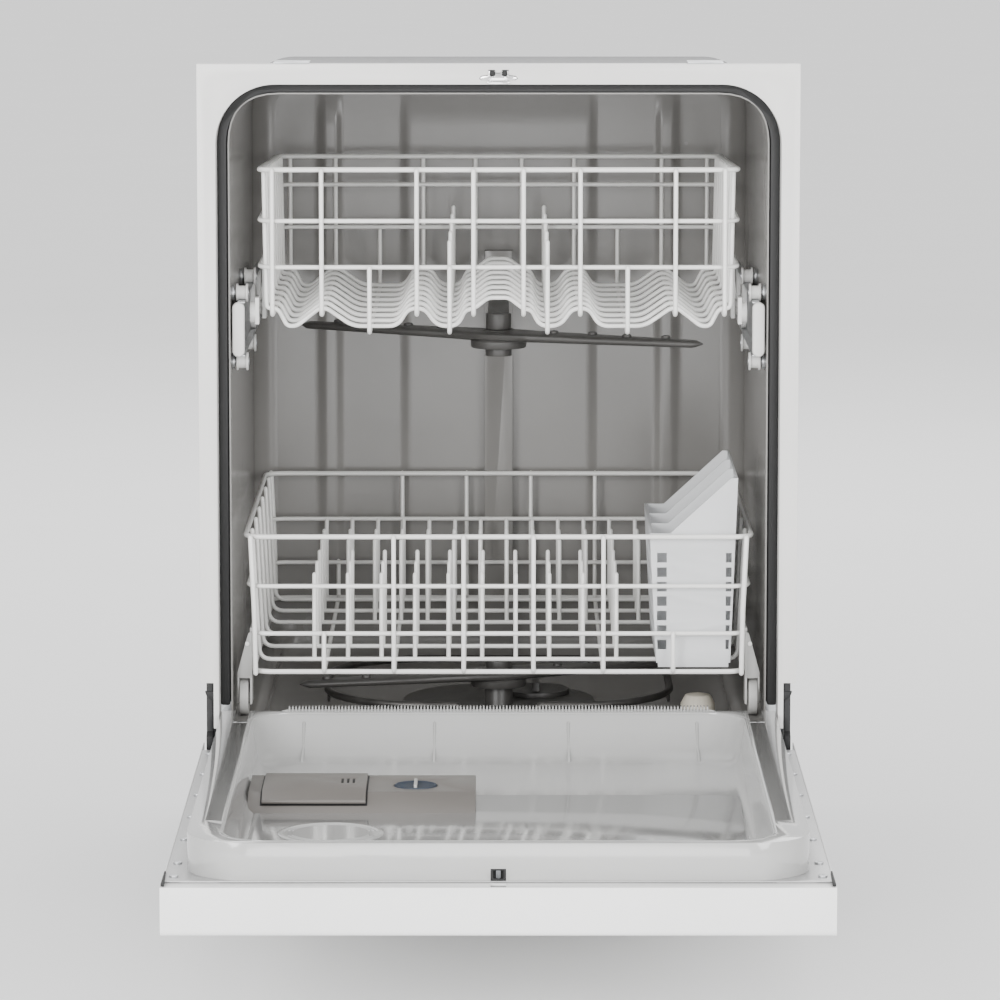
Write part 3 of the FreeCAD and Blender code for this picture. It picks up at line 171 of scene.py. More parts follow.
BASKET = surface("basket_plastic", (0.66, 0.67, 0.68), 0.4, mottle=(14, 0.03), grain=(1300, 0.08))
DARK = surface("dark_polymer", (0.062, 0.060, 0.057), 0.38, mottle=(18, 0.12), grain=(1300, 0.1))
TAUPE = surface("dispenser_plastic", (0.165, 0.153, 0.142), 0.36, mottle=(16, 0.05), grain=(1500, 0.08))
ZINC = surface("galvanised_sheet", (0.52, 0.53, 0.54), 0.38, mottle=(45, 0.16), grain=(400, 0.06),
               metallic=0.9, smudge=0.14)
STRIP = surface("door_strip_steel", (0.50, 0.50, 0.50), 0.42, mottle=(12, 0.05), grain=(500, 0.06),
                metallic=0.55, brushed="Y")
CHROME = surface("plated_steel", (0.78, 0.78, 0.78), 0.14, mottle=(30, 0.04), grain=(300, 0.02), metallic=1)
HEATER = surface("element_sheath", (0.09, 0.087, 0.083), 0.4, mottle=(60, 0.2), grain=(900, 0.12),
                 metallic=0.7)
BLACK = surface("black_polymer", (0.009, 0.009, 0.0095), 0.6, mottle=(20, 0.1), grain=(1200, 0.1))
FELT = surface("fibre_blanket", (0.11, 0.11, 0.115), 0.95, mottle=(140, 0.35), grain=(260, 0.25), sheen=0.3)
MOTOR = surface("motor_case", (0.13, 0.135, 0.145), 0.45, mottle=(15, 0.1), grain=(700, 0.1), metallic=0.4)
BOARD = surface("circuit_board", (0.02, 0.16, 0.07), 0.4, mottle=(300, 0.3), grain=(900, 0.05))
CREAM = surface("float_plastic", (0.62, 0.58, 0.49), 0.42, mottle=(30, 0.05), grain=(1400, 0.08))
TOE = surface("toe_enamel", (0.03, 0.03, 0.032), 0.35, mottle=(10, 0.1), grain=(600, 0.05), coat=0.2)
DIAL = surface("rinse_dial", (0.02, 0.032, 0.052), 0.5, mottle=(50, 0.2), grain=(300, 0.02))


# ------------------------------------------------------------------ building meshes
def add_piece(name, points, faces, body, finish, stands_for=(), slot=None, smooth=True):
    """A mesh that rides on a body, and takes the place of the CAD nodes that it stands for."""
    mesh = bpy.data.meshes.new(name)
    mesh.from_pydata([tuple(p) for p in points], [], [tuple(f) for f in faces])
    mesh.validate()
    mesh.materials.append(finish)
    piece = bpy.data.objects.new(name, mesh)
    bpy.context.collection.objects.link(piece)
    for face in mesh.polygons:
        face.use_smooth = smooth
    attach(piece, body)
    if stands_for:
        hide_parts(*stands_for)
    return piece


def smooth_by_angle(piece, degrees=35):
    """Smooth shading with the sharp edges kept."""
    mesh = piece.data
    work = bmesh.new()
    work.from_mesh(mesh)
    bmesh.ops.recalc_face_normals(work, faces=work.faces)
    for edge in work.edges:
        if len(edge.link_faces) == 2:
            edge.smooth = edge.calc_face_angle(0) < math.radians(degrees)
    for face in work.faces:
        face.smooth = True
    work.to_mesh(mesh)
    work.free()


def bevel_sharp_edges(work, width):
    """Round the edges that turn by more than 40 degrees, by a width in millimetres."""
    sharp = [e for e in work.edges if len(e.link_faces) == 2 and e.calc_face_angle(0) > math.radians(40)]
    bmesh.ops.bevel(work, geom=sharp, offset=width * MM, segments=2, profile=0.5, affect="EDGES",
                    clamp_overlap=True)


def soften(node, finish, width):
    """Stand a copy of a CAD node in its place, with its hard edges rounded."""
    mesh = frame["nodes"][node].data.copy()
    mesh.materials.clear()
    mesh.materials.append(finish)
    piece = bpy.data.objects.new(node + "_finished", mesh)
    bpy.context.collection.objects.link(piece)
    work = bmesh.new()
    work.from_mesh(mesh)
    bmesh.ops.remove_doubles(work, verts=work.verts, dist=1e-6)
    bmesh.ops.dissolve_limit(work, angle_limit=math.radians(1), verts=work.verts, edges=work.edges)
    bevel_sharp_edges(work, width)
    work.to_mesh(mesh)
    work.free()
    smooth_by_angle(piece)
    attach(piece, BODY_OF[node])
    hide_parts(node)


def bend_between(start, corner, end, steps):
    """Points of a curve from start to end that takes a corner's place."""
    points = []
    for step in range(steps + 1):
        at = step / steps
        points.append((1 - at) ** 2 * start + 2 * at * (1 - at) * corner + at ** 2 * end)
    return points


def rounded(corners, radius, closed=False, steps=5):
    """A path through the corners with each turn replaced by a curve."""
    corners = [np.array(c, float) for c in corners]
    count = len(corners)
    path = []
    for i, corner in enumerate(corners):
        if not closed and i in (0, count - 1):
            path.append(corner)
            continue
        before, after = corners[i - 1] - corner, corners[(i + 1) % count] - corner
        reach = min(radius, 0.45 * np.linalg.norm(before), 0.45 * np.linalg.norm(after))
        start = corner + before / np.linalg.norm(before) * reach
        end = corner + after / np.linalg.norm(after) * reach
        path += bend_between(start, corner, end, steps)
    return np.array(path)


def tube(path, radius, closed=False, sides=12):
    """Points and faces of a round tube along a path, with rounded ends where it is open."""
    path = np.array(path, float)
    radii = np.full(len(path), radius)
    if not closed:
        for end in (0, -1):
            inward = path[1] - path[0] if end == 0 else path[-2] - path[-1]
            inward = inward / np.linalg.norm(inward)
            tip = path[end].copy()
            cap = [tip + inward * radius * (1 - math.cos(a)) for a in np.radians((15, 50))]
            cap_radii = [radius * math.sin(a) for a in np.radians((15, 50))]
            body_start = tip + inward * radius
            if end == 0:
                path = np.vstack([cap, [body_start], path[1:]])
                radii = np.concatenate([cap_radii, [radius], radii[1:]])
            else:
                path = np.vstack([path[:-1], [body_start], cap[::-1]])
                radii = np.concatenate([radii[:-1], [radius], cap_radii[::-1]])
    count = len(path)
    ahead = np.roll(path, -1, 0) - path
    back = path - np.roll(path, 1, 0)
    if not closed:
        ahead[-1], back[0] = back[-1], ahead[0]
    tangent = ahead / np.linalg.norm(ahead, axis=1)[:, None] + back / np.linalg.norm(back, axis=1)[:, None]
    tangent /= np.linalg.norm(tangent, axis=1)[:, None]
    side = np.cross(tangent[0], (0, 0, 1) if abs(tangent[0][2]) < 0.9 else (1, 0, 0))
    points = []
    for i in range(count):
        side = side - tangent[i] * side.dot(tangent[i])
        side /= np.linalg.norm(side)
        other = np.cross(tangent[i], side)
        for k in range(sides):
            turn = 2 * math.pi * k / sides
            points.append(path[i] + radii[i] * (math.cos(turn) * side + math.sin(turn) * other))
    faces = []
    for i in range(count if closed else count - 1):
        here, there = i * sides, (i + 1) % count * sides
        for k in range(sides):
            after = (k + 1) % sides
            faces.append((here + k, here + after, there + after, there + k))
    if not closed:
        faces.append(tuple(range(sides - 1, -1, -1)))
        faces.append(tuple((count - 1) * sides + k for k in range(sides)))
    return points, faces


def merge(parts):
    """Join several (points, faces) lists into one."""
    points, faces = [], []
    for more_points, more_faces in parts:
        start = len(points)
        points += [tuple(p) for p in more_points]
        faces += [tuple(start + k for k in face) for face in more_faces]
    return points, faces


def loft(loops, closed_ends=True):
    """Points and faces of a skin through loops that have the same number of points."""
    size = len(loops[0])
    points = [tuple(p) for loop in loops for p in loop]
    faces = []
    for i in range(len(loops) - 1):
        for k in range(size):
            after = (k + 1) % size
            faces.append((i * size + k, i * size + after, (i + 1) * size + after, (i + 1) * size + k))
    if closed_ends:
        faces.append(tuple(range(size - 1, -1, -1)))
        faces.append(tuple((len(loops) - 1) * size + k for k in range(size)))
    return points, faces


def rounded_rectangle(left, right, low, high, radii, steps=8):
    """Corner-rounded outline in 2-D, counter-clockwise from the lower left; radii per corner."""
    corners = [(left, low, 180, radii[0]), (right, low, 270, radii[1]), (right, high, 0, radii[2]),
               (left, high, 90, radii[3])]
    outline = []
    for x, y, start, radius in corners:
        cx = x + radius if x == left else x - radius
        cy = y + radius if y == low else y - radius
        for step in range(steps + 1):
            turn = math.radians(start + 90 * step / steps)
            outline.append((cx + radius * math.cos(turn), cy + radius * math.sin(turn)))
    return outline


def turned(profile, centre, axis="Z", sides=40):
    """A solid of revolution: profile is (radius, height) pairs."""
    loops = []
    for radius, height in profile:
        loop = []
        for k in range(sides):
            turn = 2 * math.pi * k / sides
            u, v = radius * math.cos(turn), radius * math.sin(turn)
            offset = {"Z": (u, v, height), "X": (height, u, v), "Y": (v, height, u)}[axis]
            loop.append([c + o for c, o in zip(centre, offset)])
        loops.append(loop)
    return loft(loops)


# ------------------------------------------------------------------ racks
RIM, THIN = 2.6 * MM, 2.3 * MM           # radii of the rims and of the other wires
STEP = RIM + THIN
UPPER_WAVE = [(0, 11), (10.6, 11), (25, 0), (34, -2), (42, -18), (62.4, -18), (75.5, 0), (92, 0), (103, -18),
              (148.6, -18), (175, 0), (183, 0), (206, -18), (215.5, -18), (225, 0), (236.5, 0)]


def rack_loop(half, near, far, front_z, back_z, radius):
    """A closed wire round a rack, with rounded corners, that may slope down to the back."""
    path = rounded([(-half, near, front_z), (half, near, front_z), (half, far, back_z), (-half, far, back_z)],
                   0.022, closed=True, steps=8)
    return tube(path, radius, closed=True)


def make_upper_rack():
    """The upper rack's rims, lengthwise wires, wavy crosswise wires and upright tines."""
    near, far, half, floor = behind(40), behind(520), 0.2430, 0.608
    wires = [rack_loop(half, near, far, 0.751, 0.730, RIM)]
    wires += [rack_loop(half, near, far, z, z, THIN) for z in (0.699, 0.652)]
    for x in (25.4, 83, 179.5, 229.5, 49.7, 131):
        short = x in (49.7, 131)
        base = floor - 2 * THIN - (0.018 if short else 0)
        front_top, back_top = (0.654, 0.654) if short else (0.753, 0.732)
        for side in (-1, 1):
            corners = [(side * x * MM, near - STEP, front_top), (side * x * MM, near - STEP, base),
                       (side * x * MM, far + STEP, base), (side * x * MM, far + STEP, back_top)]
            wires.append(tube(rounded(corners, 0.008), THIN))
    wave = [(-x, z) for x, z in reversed(UPPER_WAVE)] + UPPER_WAVE[1:]
    crossings = 9
    inner = half - STEP + 0.0008
    for i in range(crossings):
        y = near + 0.022 + i * (far - near - 0.044) / (crossings - 1)
        side_top = 0.751 - 0.021 * (y - near) / (far - near)
        waves = [(x * MM, y, floor + z * MM) for x, z in wave]
        corners = [(-inner, y, side_top)] + waves + [(inner, y, side_top)]
        wires.append(tube(rounded(corners, 0.009), THIN, sides=10))
        if i % 2 == 0:
            for x in (-0.0497, 0.0497):
                wires.append(tube([(x, y, floor - 0.016), (x, y, floor + 0.03), (x, y, floor + 0.07)], THIN))
    add_piece("upper_rack_wires", *merge(wires), "upper_basket", VINYL, ["upper_rack"], "rack_vinyl")


def lower_half(z):
    """Half the lower rack's width at a height: its sides lean outward."""
    return (252 + 7 * (z - 0.24) / 0.135) * MM


def make_lower_rack():
    """The lower rack's rims, lengthwise and crosswise wires, corner posts and rows of leaning tines."""
    near, far, floor = behind(45), behind(545), 0.24
    wires = []
    for z, radius in ((0.375, RIM), (0.324, THIN), (0.275, THIN), (0.2354, RIM)):
        wires.append(rack_loop(lower_half(z), near, far, z, z, radius))
    for x in (35.75, 107.25, 178.75):
        top = 0.278 if x == 178.75 else 0.3775
        base = floor - 2 * THIN
        for side in (-1, 1):
            corners = [(side * x * MM, near - STEP, top), (side * x * MM, near - STEP, base),
                       (side * x * MM, far + STEP, base), (side * x * MM, far + STEP, top)]
            wires.append(tube(rounded(corners, 0.006), THIN))
    for side in (-1, 1):
        for y in (near - STEP, far + STEP):
            wires.append(tube([(side * 0.2488, y, 0.232), (side * 0.25, y, 0.3), (side * 0.2535, y, 0.3775)],
                              RIM))
    for behind_front, count, scale in ((51, 10, 1), (134, 10, 1), (214, 10, 1), (294, 14, 0.82),
                                       (374, 14, 0.82), (454, 14, 0.82)):
        y = near + behind_front * MM
        side = lower_half(0.24) - STEP
        top = lower_half(0.375) - STEP
        corners = [(-top, y, 0.377), (-side, y, floor), (side, y, floor), (top, y, 0.377)]
        wires.append(tube(rounded(corners, 0.012), THIN))
        y = behind(45 + behind_front)
        for k in range(count):
            x = (-190.5 + k * 34.7 * scale) * MM
            wires.append(tube(rounded([(x, y + 0.003, floor), (x, y + 0.003, floor + 0.03),
                                       (x, y + 0.012, floor + 0.089)], 0.02), THIN, sides=10))
    add_piece("lower_rack_wires", *merge(wires), "lower_basket", VINYL, ["lower_rack"], "rack_vinyl")


# ------------------------------------------------------------------ tub
def tub_outline(shrink):
    """The tub's inner section in X and Z, shrunk inward."""
    half, top, ledge, trough, floor = 0.272, 0.828, 0.187, 0.242, 0.16
    corners = [(-half, top, 0.05), (-half, ledge, 0.006), (-trough, ledge, 0.012), (-trough, floor, 0.03),
               (trough, floor, 0.03), (trough, ledge, 0.012), (half, ledge, 0.006), (half, top, 0.05)]
    middle = np.array([0, 0.5])
    flat = []
    for i, (x, z, radius) in enumerate(corners):
        corner = np.array((x, z))
        ends = []
        for neighbour in (corners[i - 1], corners[(i + 1) % len(corners)]):
            away = np.array(neighbour[:2]) - corner
            length = np.linalg.norm(away)
            ends.append(corner + away / length * min(radius, 0.48 * length))
        flat += bend_between(ends[0], corner, ends[1], 8)
    return [point + (middle - point) * (shrink / np.abs(middle - point).max()) for point in flat]


def make_tub():
    """The tub's smooth shell, bent in at the back and closed by the back wall."""
    wall = 0.0015
    front, back, bend = behind(30), TUB_BACK - wall, 0.026
    loops = []
    for y in np.linspace(front, back - bend, 24):
        loops.append([(x, y, z) for x, z in tub_outline(0)])
    for turn in np.radians((15, 30, 45, 60, 75, 90)):
        y = back - bend + bend * math.sin(turn)
        loops.append([(x, y, z) for x, z in tub_outline(bend * (1 - math.cos(turn)))])
    points, faces = loft(loops, closed_ends=False)
    size = len(loops[0])
    last = (len(loops) - 1) * size
    faces.append(tuple(last + k for k in range(size)))
    shell = add_piece("tub_shell", points, faces, "root", TUB, ["tub"], "tub_grey")
    thicken(shell, wall)
    smooth_by_angle(shell, 50)
    add_back_panel(back)


def thicken(piece, depth, offset=1):
    """Turn an open skin into a closed shell by growing it outward."""
    work = bmesh.new()
    work.from_mesh(piece.data)
    bmesh.ops.recalc_face_normals(work, faces=work.faces)
    work.to_mesh(piece.data)
    work.free()
    shell = piece.modifiers.new("shell", "SOLIDIFY")
    shell.thickness = depth
    shell.offset = offset
    apply_modifiers(piece)


def apply_modifiers(piece):
    """Turn a piece's modifiers into plain mesh."""
    bpy.context.view_layer.update()
    graph = bpy.context.evaluated_depsgraph_get()
    done = bpy.data.meshes.new_from_object(piece.evaluated_get(graph))
    piece.modifiers.clear()
    piece.data = done


def ridge(x, middle, half_width, slope):
    """1 on a raised strip, falling smoothly to 0 beside it."""
    return 1 / (1 + math.exp(-(half_width - abs(x - middle)) / (slope / 4)))


def add_back_panel(back):
    """The back wall's embossed panel, with two upright ribs and a broad raised field."""
    left, right, low, high = -0.246, 0.246, 0.19, 0.80
    across, up = 124, 60
    top, bottom = [], []
    for j in range(up + 1):
        z = low + (high - low) * j / up
        fade = min(1, (high - z) / 0.03, (z - low) / 0.05)
        for i in range(across + 1):
            x = left + (right - left) * i / across
            edge = min(1, (right - abs(x)) / 0.02)
            rise = 4.5 * ridge(abs(x), 0.187, 0.010, 0.003) + 2.2 * ridge(x, 0, 0.104, 0.004)
            rise *= max(0, fade) * max(0, edge)
            top.append((x, back - 0.0006 - rise * MM, z))
            bottom.append((x, back + 0.0004, z))
    width = across + 1
    faces = []
    for j in range(up):
        for i in range(across):
            a = j * width + i
            faces.append((a, a + 1, a + 1 + width, a + width))
    count = len(top)
    faces += [tuple(reversed([k + count for k in face])) for face in faces]
    edge_loop = list(range(width))
    edge_loop += [j * width + across for j in range(1, up + 1)]
    edge_loop += [up * width + i for i in range(across - 1, -1, -1)]
    edge_loop += [j * width for j in range(up - 1, 0, -1)]
    for a, b in zip(edge_loop, edge_loop[1:] + edge_loop[:1]):
        faces.append((a, a + count, b + count, b))
    panel = add_piece("tub_back_panel", top + bottom, faces, "root", TUB, (), "tub_grey")
    smooth_by_angle(panel, 60)


# ------------------------------------------------------------------ door liner and its fittings
def slab(outline, axis, low, high):
    """An outline drawn in the other two axes, extruded along one axis."""
    if axis == "X":
        ends = [[(w, u, v) for u, v in outline] for w in (low, high)]
    elif axis == "Y":
        ends = [[(u, w, v) for u, v in outline] for w in (low, high)]
    else:
        ends = [[(u, v, w) for u, v in outline] for w in (low, high)]
    return loft(ends)


def eased(name, shapes, body, finish, width=0.5, stands_for=(), slot=None):
    """A piece made of slabs, with its edges rounded."""
    piece = add_piece(name, *merge(shapes), body, finish, stands_for, slot)
    round_off(piece, width)
    return piece


def round_off(piece, width):
    """Round a piece's sharp edges and shade it smooth between them."""
    work = bmesh.new()
    work.from_mesh(piece.data)
    bmesh.ops.recalc_face_normals(work, faces=work.faces)
    bevel_sharp_edges(work, width)
    work.to_mesh(piece.data)
    work.free()
    smooth_by_angle(piece)


def make_basin():
    """The basin's drafted walls and floor, with its shallow step and the creases of its sloping end."""
    half, near, far = 0.2494, behind(-652.8), behind(7.8)

    def loop(side, front, back, drop, corner):
        outline = rounded_rectangle(-half + side, half - side, near + front, far - back,
                                    (corner, corner, corner, corner), steps=12)
        return [(x, y, LINER_TOP - drop) for x, y in outline]

    rows = [
        loop(-0.0035, -0.0035, -0.003, -0.0004, 0.044), loop(-0.0012, -0.0012, -0.001, 0.0002, 0.043),
        loop(0.0002, 0.0002, 0.002, 0.003, 0.042), loop(0.002, 0.002, 0.012, 0.012, 0.042),
        loop(0.005, 0.006, 0.030, 0.027, 0.040), loop(0.009, 0.011, 0.043, 0.036, 0.038),
        loop(0.015, 0.02, 0.052, 0.0396, 0.036), loop(0.026, 0.034, 0.066, 0.0404, 0.034),
        loop(0.12, 0.2, 0.2, 0.0405, 0.03),
    ]
    points, faces = loft(rows, closed_ends=False)
    size = len(rows[0])
    faces.append(tuple((len(rows) - 1) * size + k for k in range(size)))
    skin = add_piece("liner_basin_skin", points, faces, "door", LINER, (), "liner_plastic")
    thicken(skin, 0.0004, offset=-1)
    smooth_by_angle(skin, 60)
    plate = rounded_rectangle(-0.236, 0.236, behind(-640), behind(-233), (0.034, 0.034, 0.006, 0.006))
    sheet = slab(plate, "Z", BASIN_FLOOR, BASIN_FLOOR + 0.0021)
    # The floor plate takes the darker liner colour: painted shade and painted reflection.
    eased("liner_floor_plate", [sheet], "door", SHADED_LINER_FLOOR, 0.9, (), "liner_plastic")
    creases = []
    for x in (-0.198, -0.065, 0.071, 0.202):
        creases.append(tube([(x, behind(0), LINER_TOP - 0.0078), (x, behind(-24), LINER_TOP - 0.0295),
                             (x * 1.004, behind(-50), LINER_TOP - 0.0405)], 0.0014, sides=10))
    add_piece("liner_creases", *merge(creases), "door", LINER, (), "liner_plastic")


def make_fringe():
    """The raised end of the liner with its comb of short teeth and cut-off corners."""
    low = LINER_TOP - 0.008
    ridge_line = [(-0.2495, low), (0.2495, low), (0.2495, LINER_TOP - 0.004), (0.2345, LINER_TOP - 0.003),
                  (0.2155, LINER_TOP + 0.0014), (-0.2155, LINER_TOP + 0.0014), (-0.2345, LINER_TOP - 0.003),
                  (-0.2495, LINER_TOP - 0.004)]
    shapes = [slab(ridge_line, "Y", behind(19.6), behind(20.6))]
    teeth = 128
    for i in range(teeth):
        x = -0.2135 + 0.427 * i / (teeth - 1)
        shapes.append(slab([(x - 0.0009, LINER_TOP - 0.0030), (x + 0.0009, LINER_TOP - 0.0030),
                            (x + 0.0007, LINER_TOP + 0.0046), (x - 0.0007, LINER_TOP + 0.0046)],
                           "Y", behind(17.6), behind(25.8)))
    add_piece("liner_comb", *merge(shapes), "door", LINER, ["splash_fringe"], "liner_plastic", smooth=False)


def make_vent():
    """The round vent: a rim, two broken rings, and a grille of slats over a dark disc."""
    centre = (-0.158, behind(-426), BASIN_FLOOR + 0.0005)
    shapes = [turned([(0.0450, 0.0), (0.0505, 0.0), (0.0500, 0.0022), (0.0485, 0.0030), (0.0455, 0.0030),
                      (0.0445, 0.0018)], centre, sides=72)]
    for radius in (0.0375, 0.0415):
        for start in (15, 195):
            arc = [(centre[0] + radius * math.cos(a), centre[1] + radius * math.sin(a), centre[2] + 0.0017)
                   for a in np.radians(range(start, start + 151, 6))]
            shapes.append(tube(arc, 0.0011, sides=8))
    for i in range(-8, 9):
        x = i * 0.004
        reach = math.sqrt(0.0345 ** 2 - x ** 2)
        shapes.append(slab([(centre[0] + x - 0.0008, centre[2]), (centre[0] + x + 0.0008, centre[2]),
                            (centre[0] + x + 0.0006, centre[2] + 0.0022),
                            (centre[0] + x - 0.0006, centre[2] + 0.0022)],
                           "Y", centre[1] - reach, centre[1] + reach))
    ring = [(0.0335, 0.0), (0.0365, 0.0), (0.0360, 0.0026), (0.0340, 0.0026)]
    shapes.append(turned(ring, centre, sides=64))
    vent = add_piece("vent_grille", *merge(shapes), "door", LINER, ["door_vent"], "liner_plastic")
    smooth_by_angle(vent, 40)
    disc = [(0.0001, -0.0004), (0.0455, -0.0004), (0.0455, 0.0004), (0.0001, 0.0004)]
    well = turned(disc, centre, sides=48)
    add_piece("vent_shadow", *well, "door", TAUPE, (), "dispenser_grey")


def make_dispenser_trim():
    """Painted shade: black pieces for the gap round the lid and the bottoms of its slots; and the rinse dial.
    """
    low, top = BASIN_FLOOR, BASIN_FLOOR + 0.016
    near, far = behind(-327), behind(-202)
    # A thin black sheet in the gap round the lid: painted shade.
    gap = [(near + 0.0125, low + 0.0069), (near + 0.036, top), (far - 0.0045, top),
           (far - 0.0045, top + 0.00022), (near + 0.036, top + 0.00022), (near + 0.0124, low + 0.0072)]
    eased("lid_gap_painted_shade", [slab(gap, "X", -0.2297, -0.1263)], "door", BLACK, 0.05, (), "black_plastic")
    # Black strips on the bottoms of the lid's slots: painted shade.
    slots = []
    for x in (-0.153, -0.1475, -0.142):
        slots.append(slab([(x + 0.0001, far - 0.0579), (x + 0.0023, far - 0.0579), (x + 0.0023, far - 0.0341),
                           (x + 0.0001, far - 0.0341)], "Z", top + 0.0016, top + 0.0028))
    eased("lid_slot_painted_shade", slots, "detergent_lid", BLACK, 0.05, (), "black_plastic")
    centre = (-0.0805, behind(-255), low)
    disc = turned([(0.0001, 0.0083), (0.0207, 0.0083), (0.0207, 0.0155), (0.0200, 0.0168), (0.0188, 0.0168),
                   (0.0180, 0.0160), (0.0060, 0.0156), (0.0001, 0.0156)], centre, sides=56)
    dial = add_piece("rinse_dial", *disc, "rinse_cap", DIAL, ["rinse_cap"], "dispenser_grey")
    smooth_by_angle(dial, 40)
    bar = rounded_rectangle(centre[0] - 0.0016, centre[0] + 0.0016, centre[1] - 0.018, centre[1] + 0.018,
                            (0.0014,) * 4)
    eased("rinse_dial_bar", [slab(bar, "Z", low + 0.0150, low + 0.0194)], "rinse_cap", GREY, 0.4, (),
          "basket_plastic")


def make_door_corners():
    """Rubber bumpers at the console's ends and the pale tongue inside the latch mouth."""
    wedges, plates = [], []
    for side in (-1, 1):
        outline = [(side * 0.3023, behind(-687)), (side * 0.2990, behind(-687)),
                   (side * 0.3008, behind(-630)), (side * 0.3023, behind(-630))]
        wedges.append(slab(outline, "Z", 0.1636, 0.1662))
        left, right = sorted((side * 0.2500, side * 0.2860))
        plate = rounded_rectangle(left, right, behind(-668.8), behind(-634), (0.001,) * 4)
        plates.append(slab(plate, "Z", 0.1632, 0.1645))
    eased("corner_bumpers", wedges, "door", BLACK, 0.4, (), "gasket_rubber")
    eased("corner_plates", plates, "door", STRIP, 0.2, (), "galvanised")
    tongue = rounded_rectangle(-0.0021, 0.0021, 0.1668, 0.1742, (0.001,) * 4)
    block = slab(tongue, "Y", behind(-666.6), behind(-664))
    eased("latch_tongue", [block], "door", MOTOR, 0.3, (), "motor_metal")


# ------------------------------------------------------------------ strike and lower wheel forks
def make_strike():
    """The winged strike plate above the opening, its wire loop and its two screws."""
    top = 0.8395
    wing = [(-0.0185, top + 0.0062), (-0.0165, top + 0.0046), (-0.009, top + 0.0048), (-0.009, top + 0.002),
            (0.009, top + 0.002), (0.009, top + 0.0048), (0.0165, top + 0.0046), (0.0185, top + 0.0062),
            (0.0165, top + 0.0084), (0.0098, top + 0.0092), (0.0098, top + 0.0138), (0.0036, top + 0.0138),
            (0.0026, top + 0.0112), (-0.0026, top + 0.0112), (-0.0036, top + 0.0138), (-0.0098, top + 0.0138),
            (-0.0098, top + 0.0092), (-0.0165, top + 0.0084)]
    lip = rounded_rectangle(-0.011, 0.011, top + 0.0004, top + 0.0036, (0.0015,) * 4)
    loop = rounded([(-0.0046, behind(-1), top + 0.0082), (-0.0046, behind(-14.4), top + 0.0082),
                    (0.0046, behind(-14.4), top + 0.0082), (0.0046, behind(-1), top + 0.0082)], 0.0018)
    plates = [slab(wing, "Y", behind(-1.5), behind(0)), slab(lip, "Y", behind(-3.2), behind(-0.2))]
    eased("strike_plate", plates, "root", CHROME, 0.35, ["door_strike"], "bright_steel")
    add_piece("strike_loop", *tube(loop, 0.0012), "root", CHROME, (), "bright_steel")
    rim = [(x * 1.045, top + 0.0062 + (z - top - 0.0062) * 1.12) for x, z in wing]
    heads = [slab(rim, "Y", behind(-0.35), behind(0))]
    for x in (-0.0062, 0.0062):
        heads.append(turned([(0.0001, -0.0034), (0.0022, -0.0034), (0.0032, -0.0026), (0.0032, -0.0014),
                             (0.0001, -0.0014)], (x, behind(0), top + 0.0112), axis="Y", sides=24))
    eased("strike_screws", heads, "root", BLACK, 0.2, (), "black_plastic")


def make_wheel_forks():
    """Tapered forks that hang from the lower rack's corner wires and hood its wheels."""
    shapes, pivots = [], []
    for y, front in ((behind(66), -1), (behind(500), 1)):
        for side in (-1, 1):
            inner = [(y - 0.015, 0.2005), (y + 0.015, 0.2005), (y + 0.013, 0.232), (y + 0.009, 0.279),
                     (y - 0.009, 0.279), (y - 0.013, 0.232)]
            shapes.append(slab(inner, "X", *sorted((side * 0.2531, side * 0.2553))))
            outer = [(y - 0.011, 0.2010), (y + 0.011, 0.2010), (y + 0.014, 0.2292), (y - 0.014, 0.2292)]
            shapes.append(slab(outer, "X", *sorted((side * 0.2664, side * 0.2682))))
            roof = [(side * 0.2553, 0.2272), (side * 0.2664, 0.2272), (side * 0.2664, 0.2296),
                    (side * 0.2553, 0.2330)]
            shapes.append(slab(roof, "Y", y - 0.0138, y + 0.0138))
            web = [(side * 0.2532, 0.2285), (side * 0.2680, 0.2285), (side * 0.2682, 0.2330),
                   (side * 0.2602, 0.2625), (side * 0.2568, 0.2740), (side * 0.2532, 0.2760)]
            shapes.append(slab(web, "Y", *sorted((y + front * 0.0122, y + front * 0.0142))))
            hub = [(0.0001, 0), (0.0055, 0), (0.0055, 0.0012), (0.0040, 0.0020), (0.0001, 0.0020)]
            shapes.append(turned(hub, (side * 0.2682, y, 0.2063), axis="X", sides=24))
            shapes.append(tube([(side * 0.2535, y, 0.2063), (side * 0.2680, y, 0.2063)], 0.0039, sides=20))
            head = [(0.0001, 0), (0.0023, 0), (0.0023, 0.0016), (0.0014, 0.0024), (0.0001, 0.0024)]
            shift = y + front * 0.0142 - (0.0024 if front < 0 else 0)
            pivots.append(turned(head, (side * 0.2578, shift, 0.2635), axis="Y", sides=20))
    eased("wheel_forks", shapes, "lower_basket", GREY, 0.35, ["lower_rack_carriers"], "basket_plastic")
    eased("fork_pivots", pivots, "lower_basket", VINYL, 0.2, (), "rack_vinyl")


def make_hinge_hooks():
    """The black hooks that hold the hinge brackets below the flange's outer corners."""
    shapes = []
    for side in (-1, 1):
        outline = [(side * 0.2990, 0.2222), (side * 0.2890, 0.2222), (side * 0.2890, 0.2130),
                   (side * 0.2925, 0.2140), (side * 0.2975, 0.2180)]
        shapes.append(slab(outline, "Y", behind(1), behind(7)))
    eased("hinge_hooks", shapes, "root", BLACK, 0.5, (), "black_plastic")


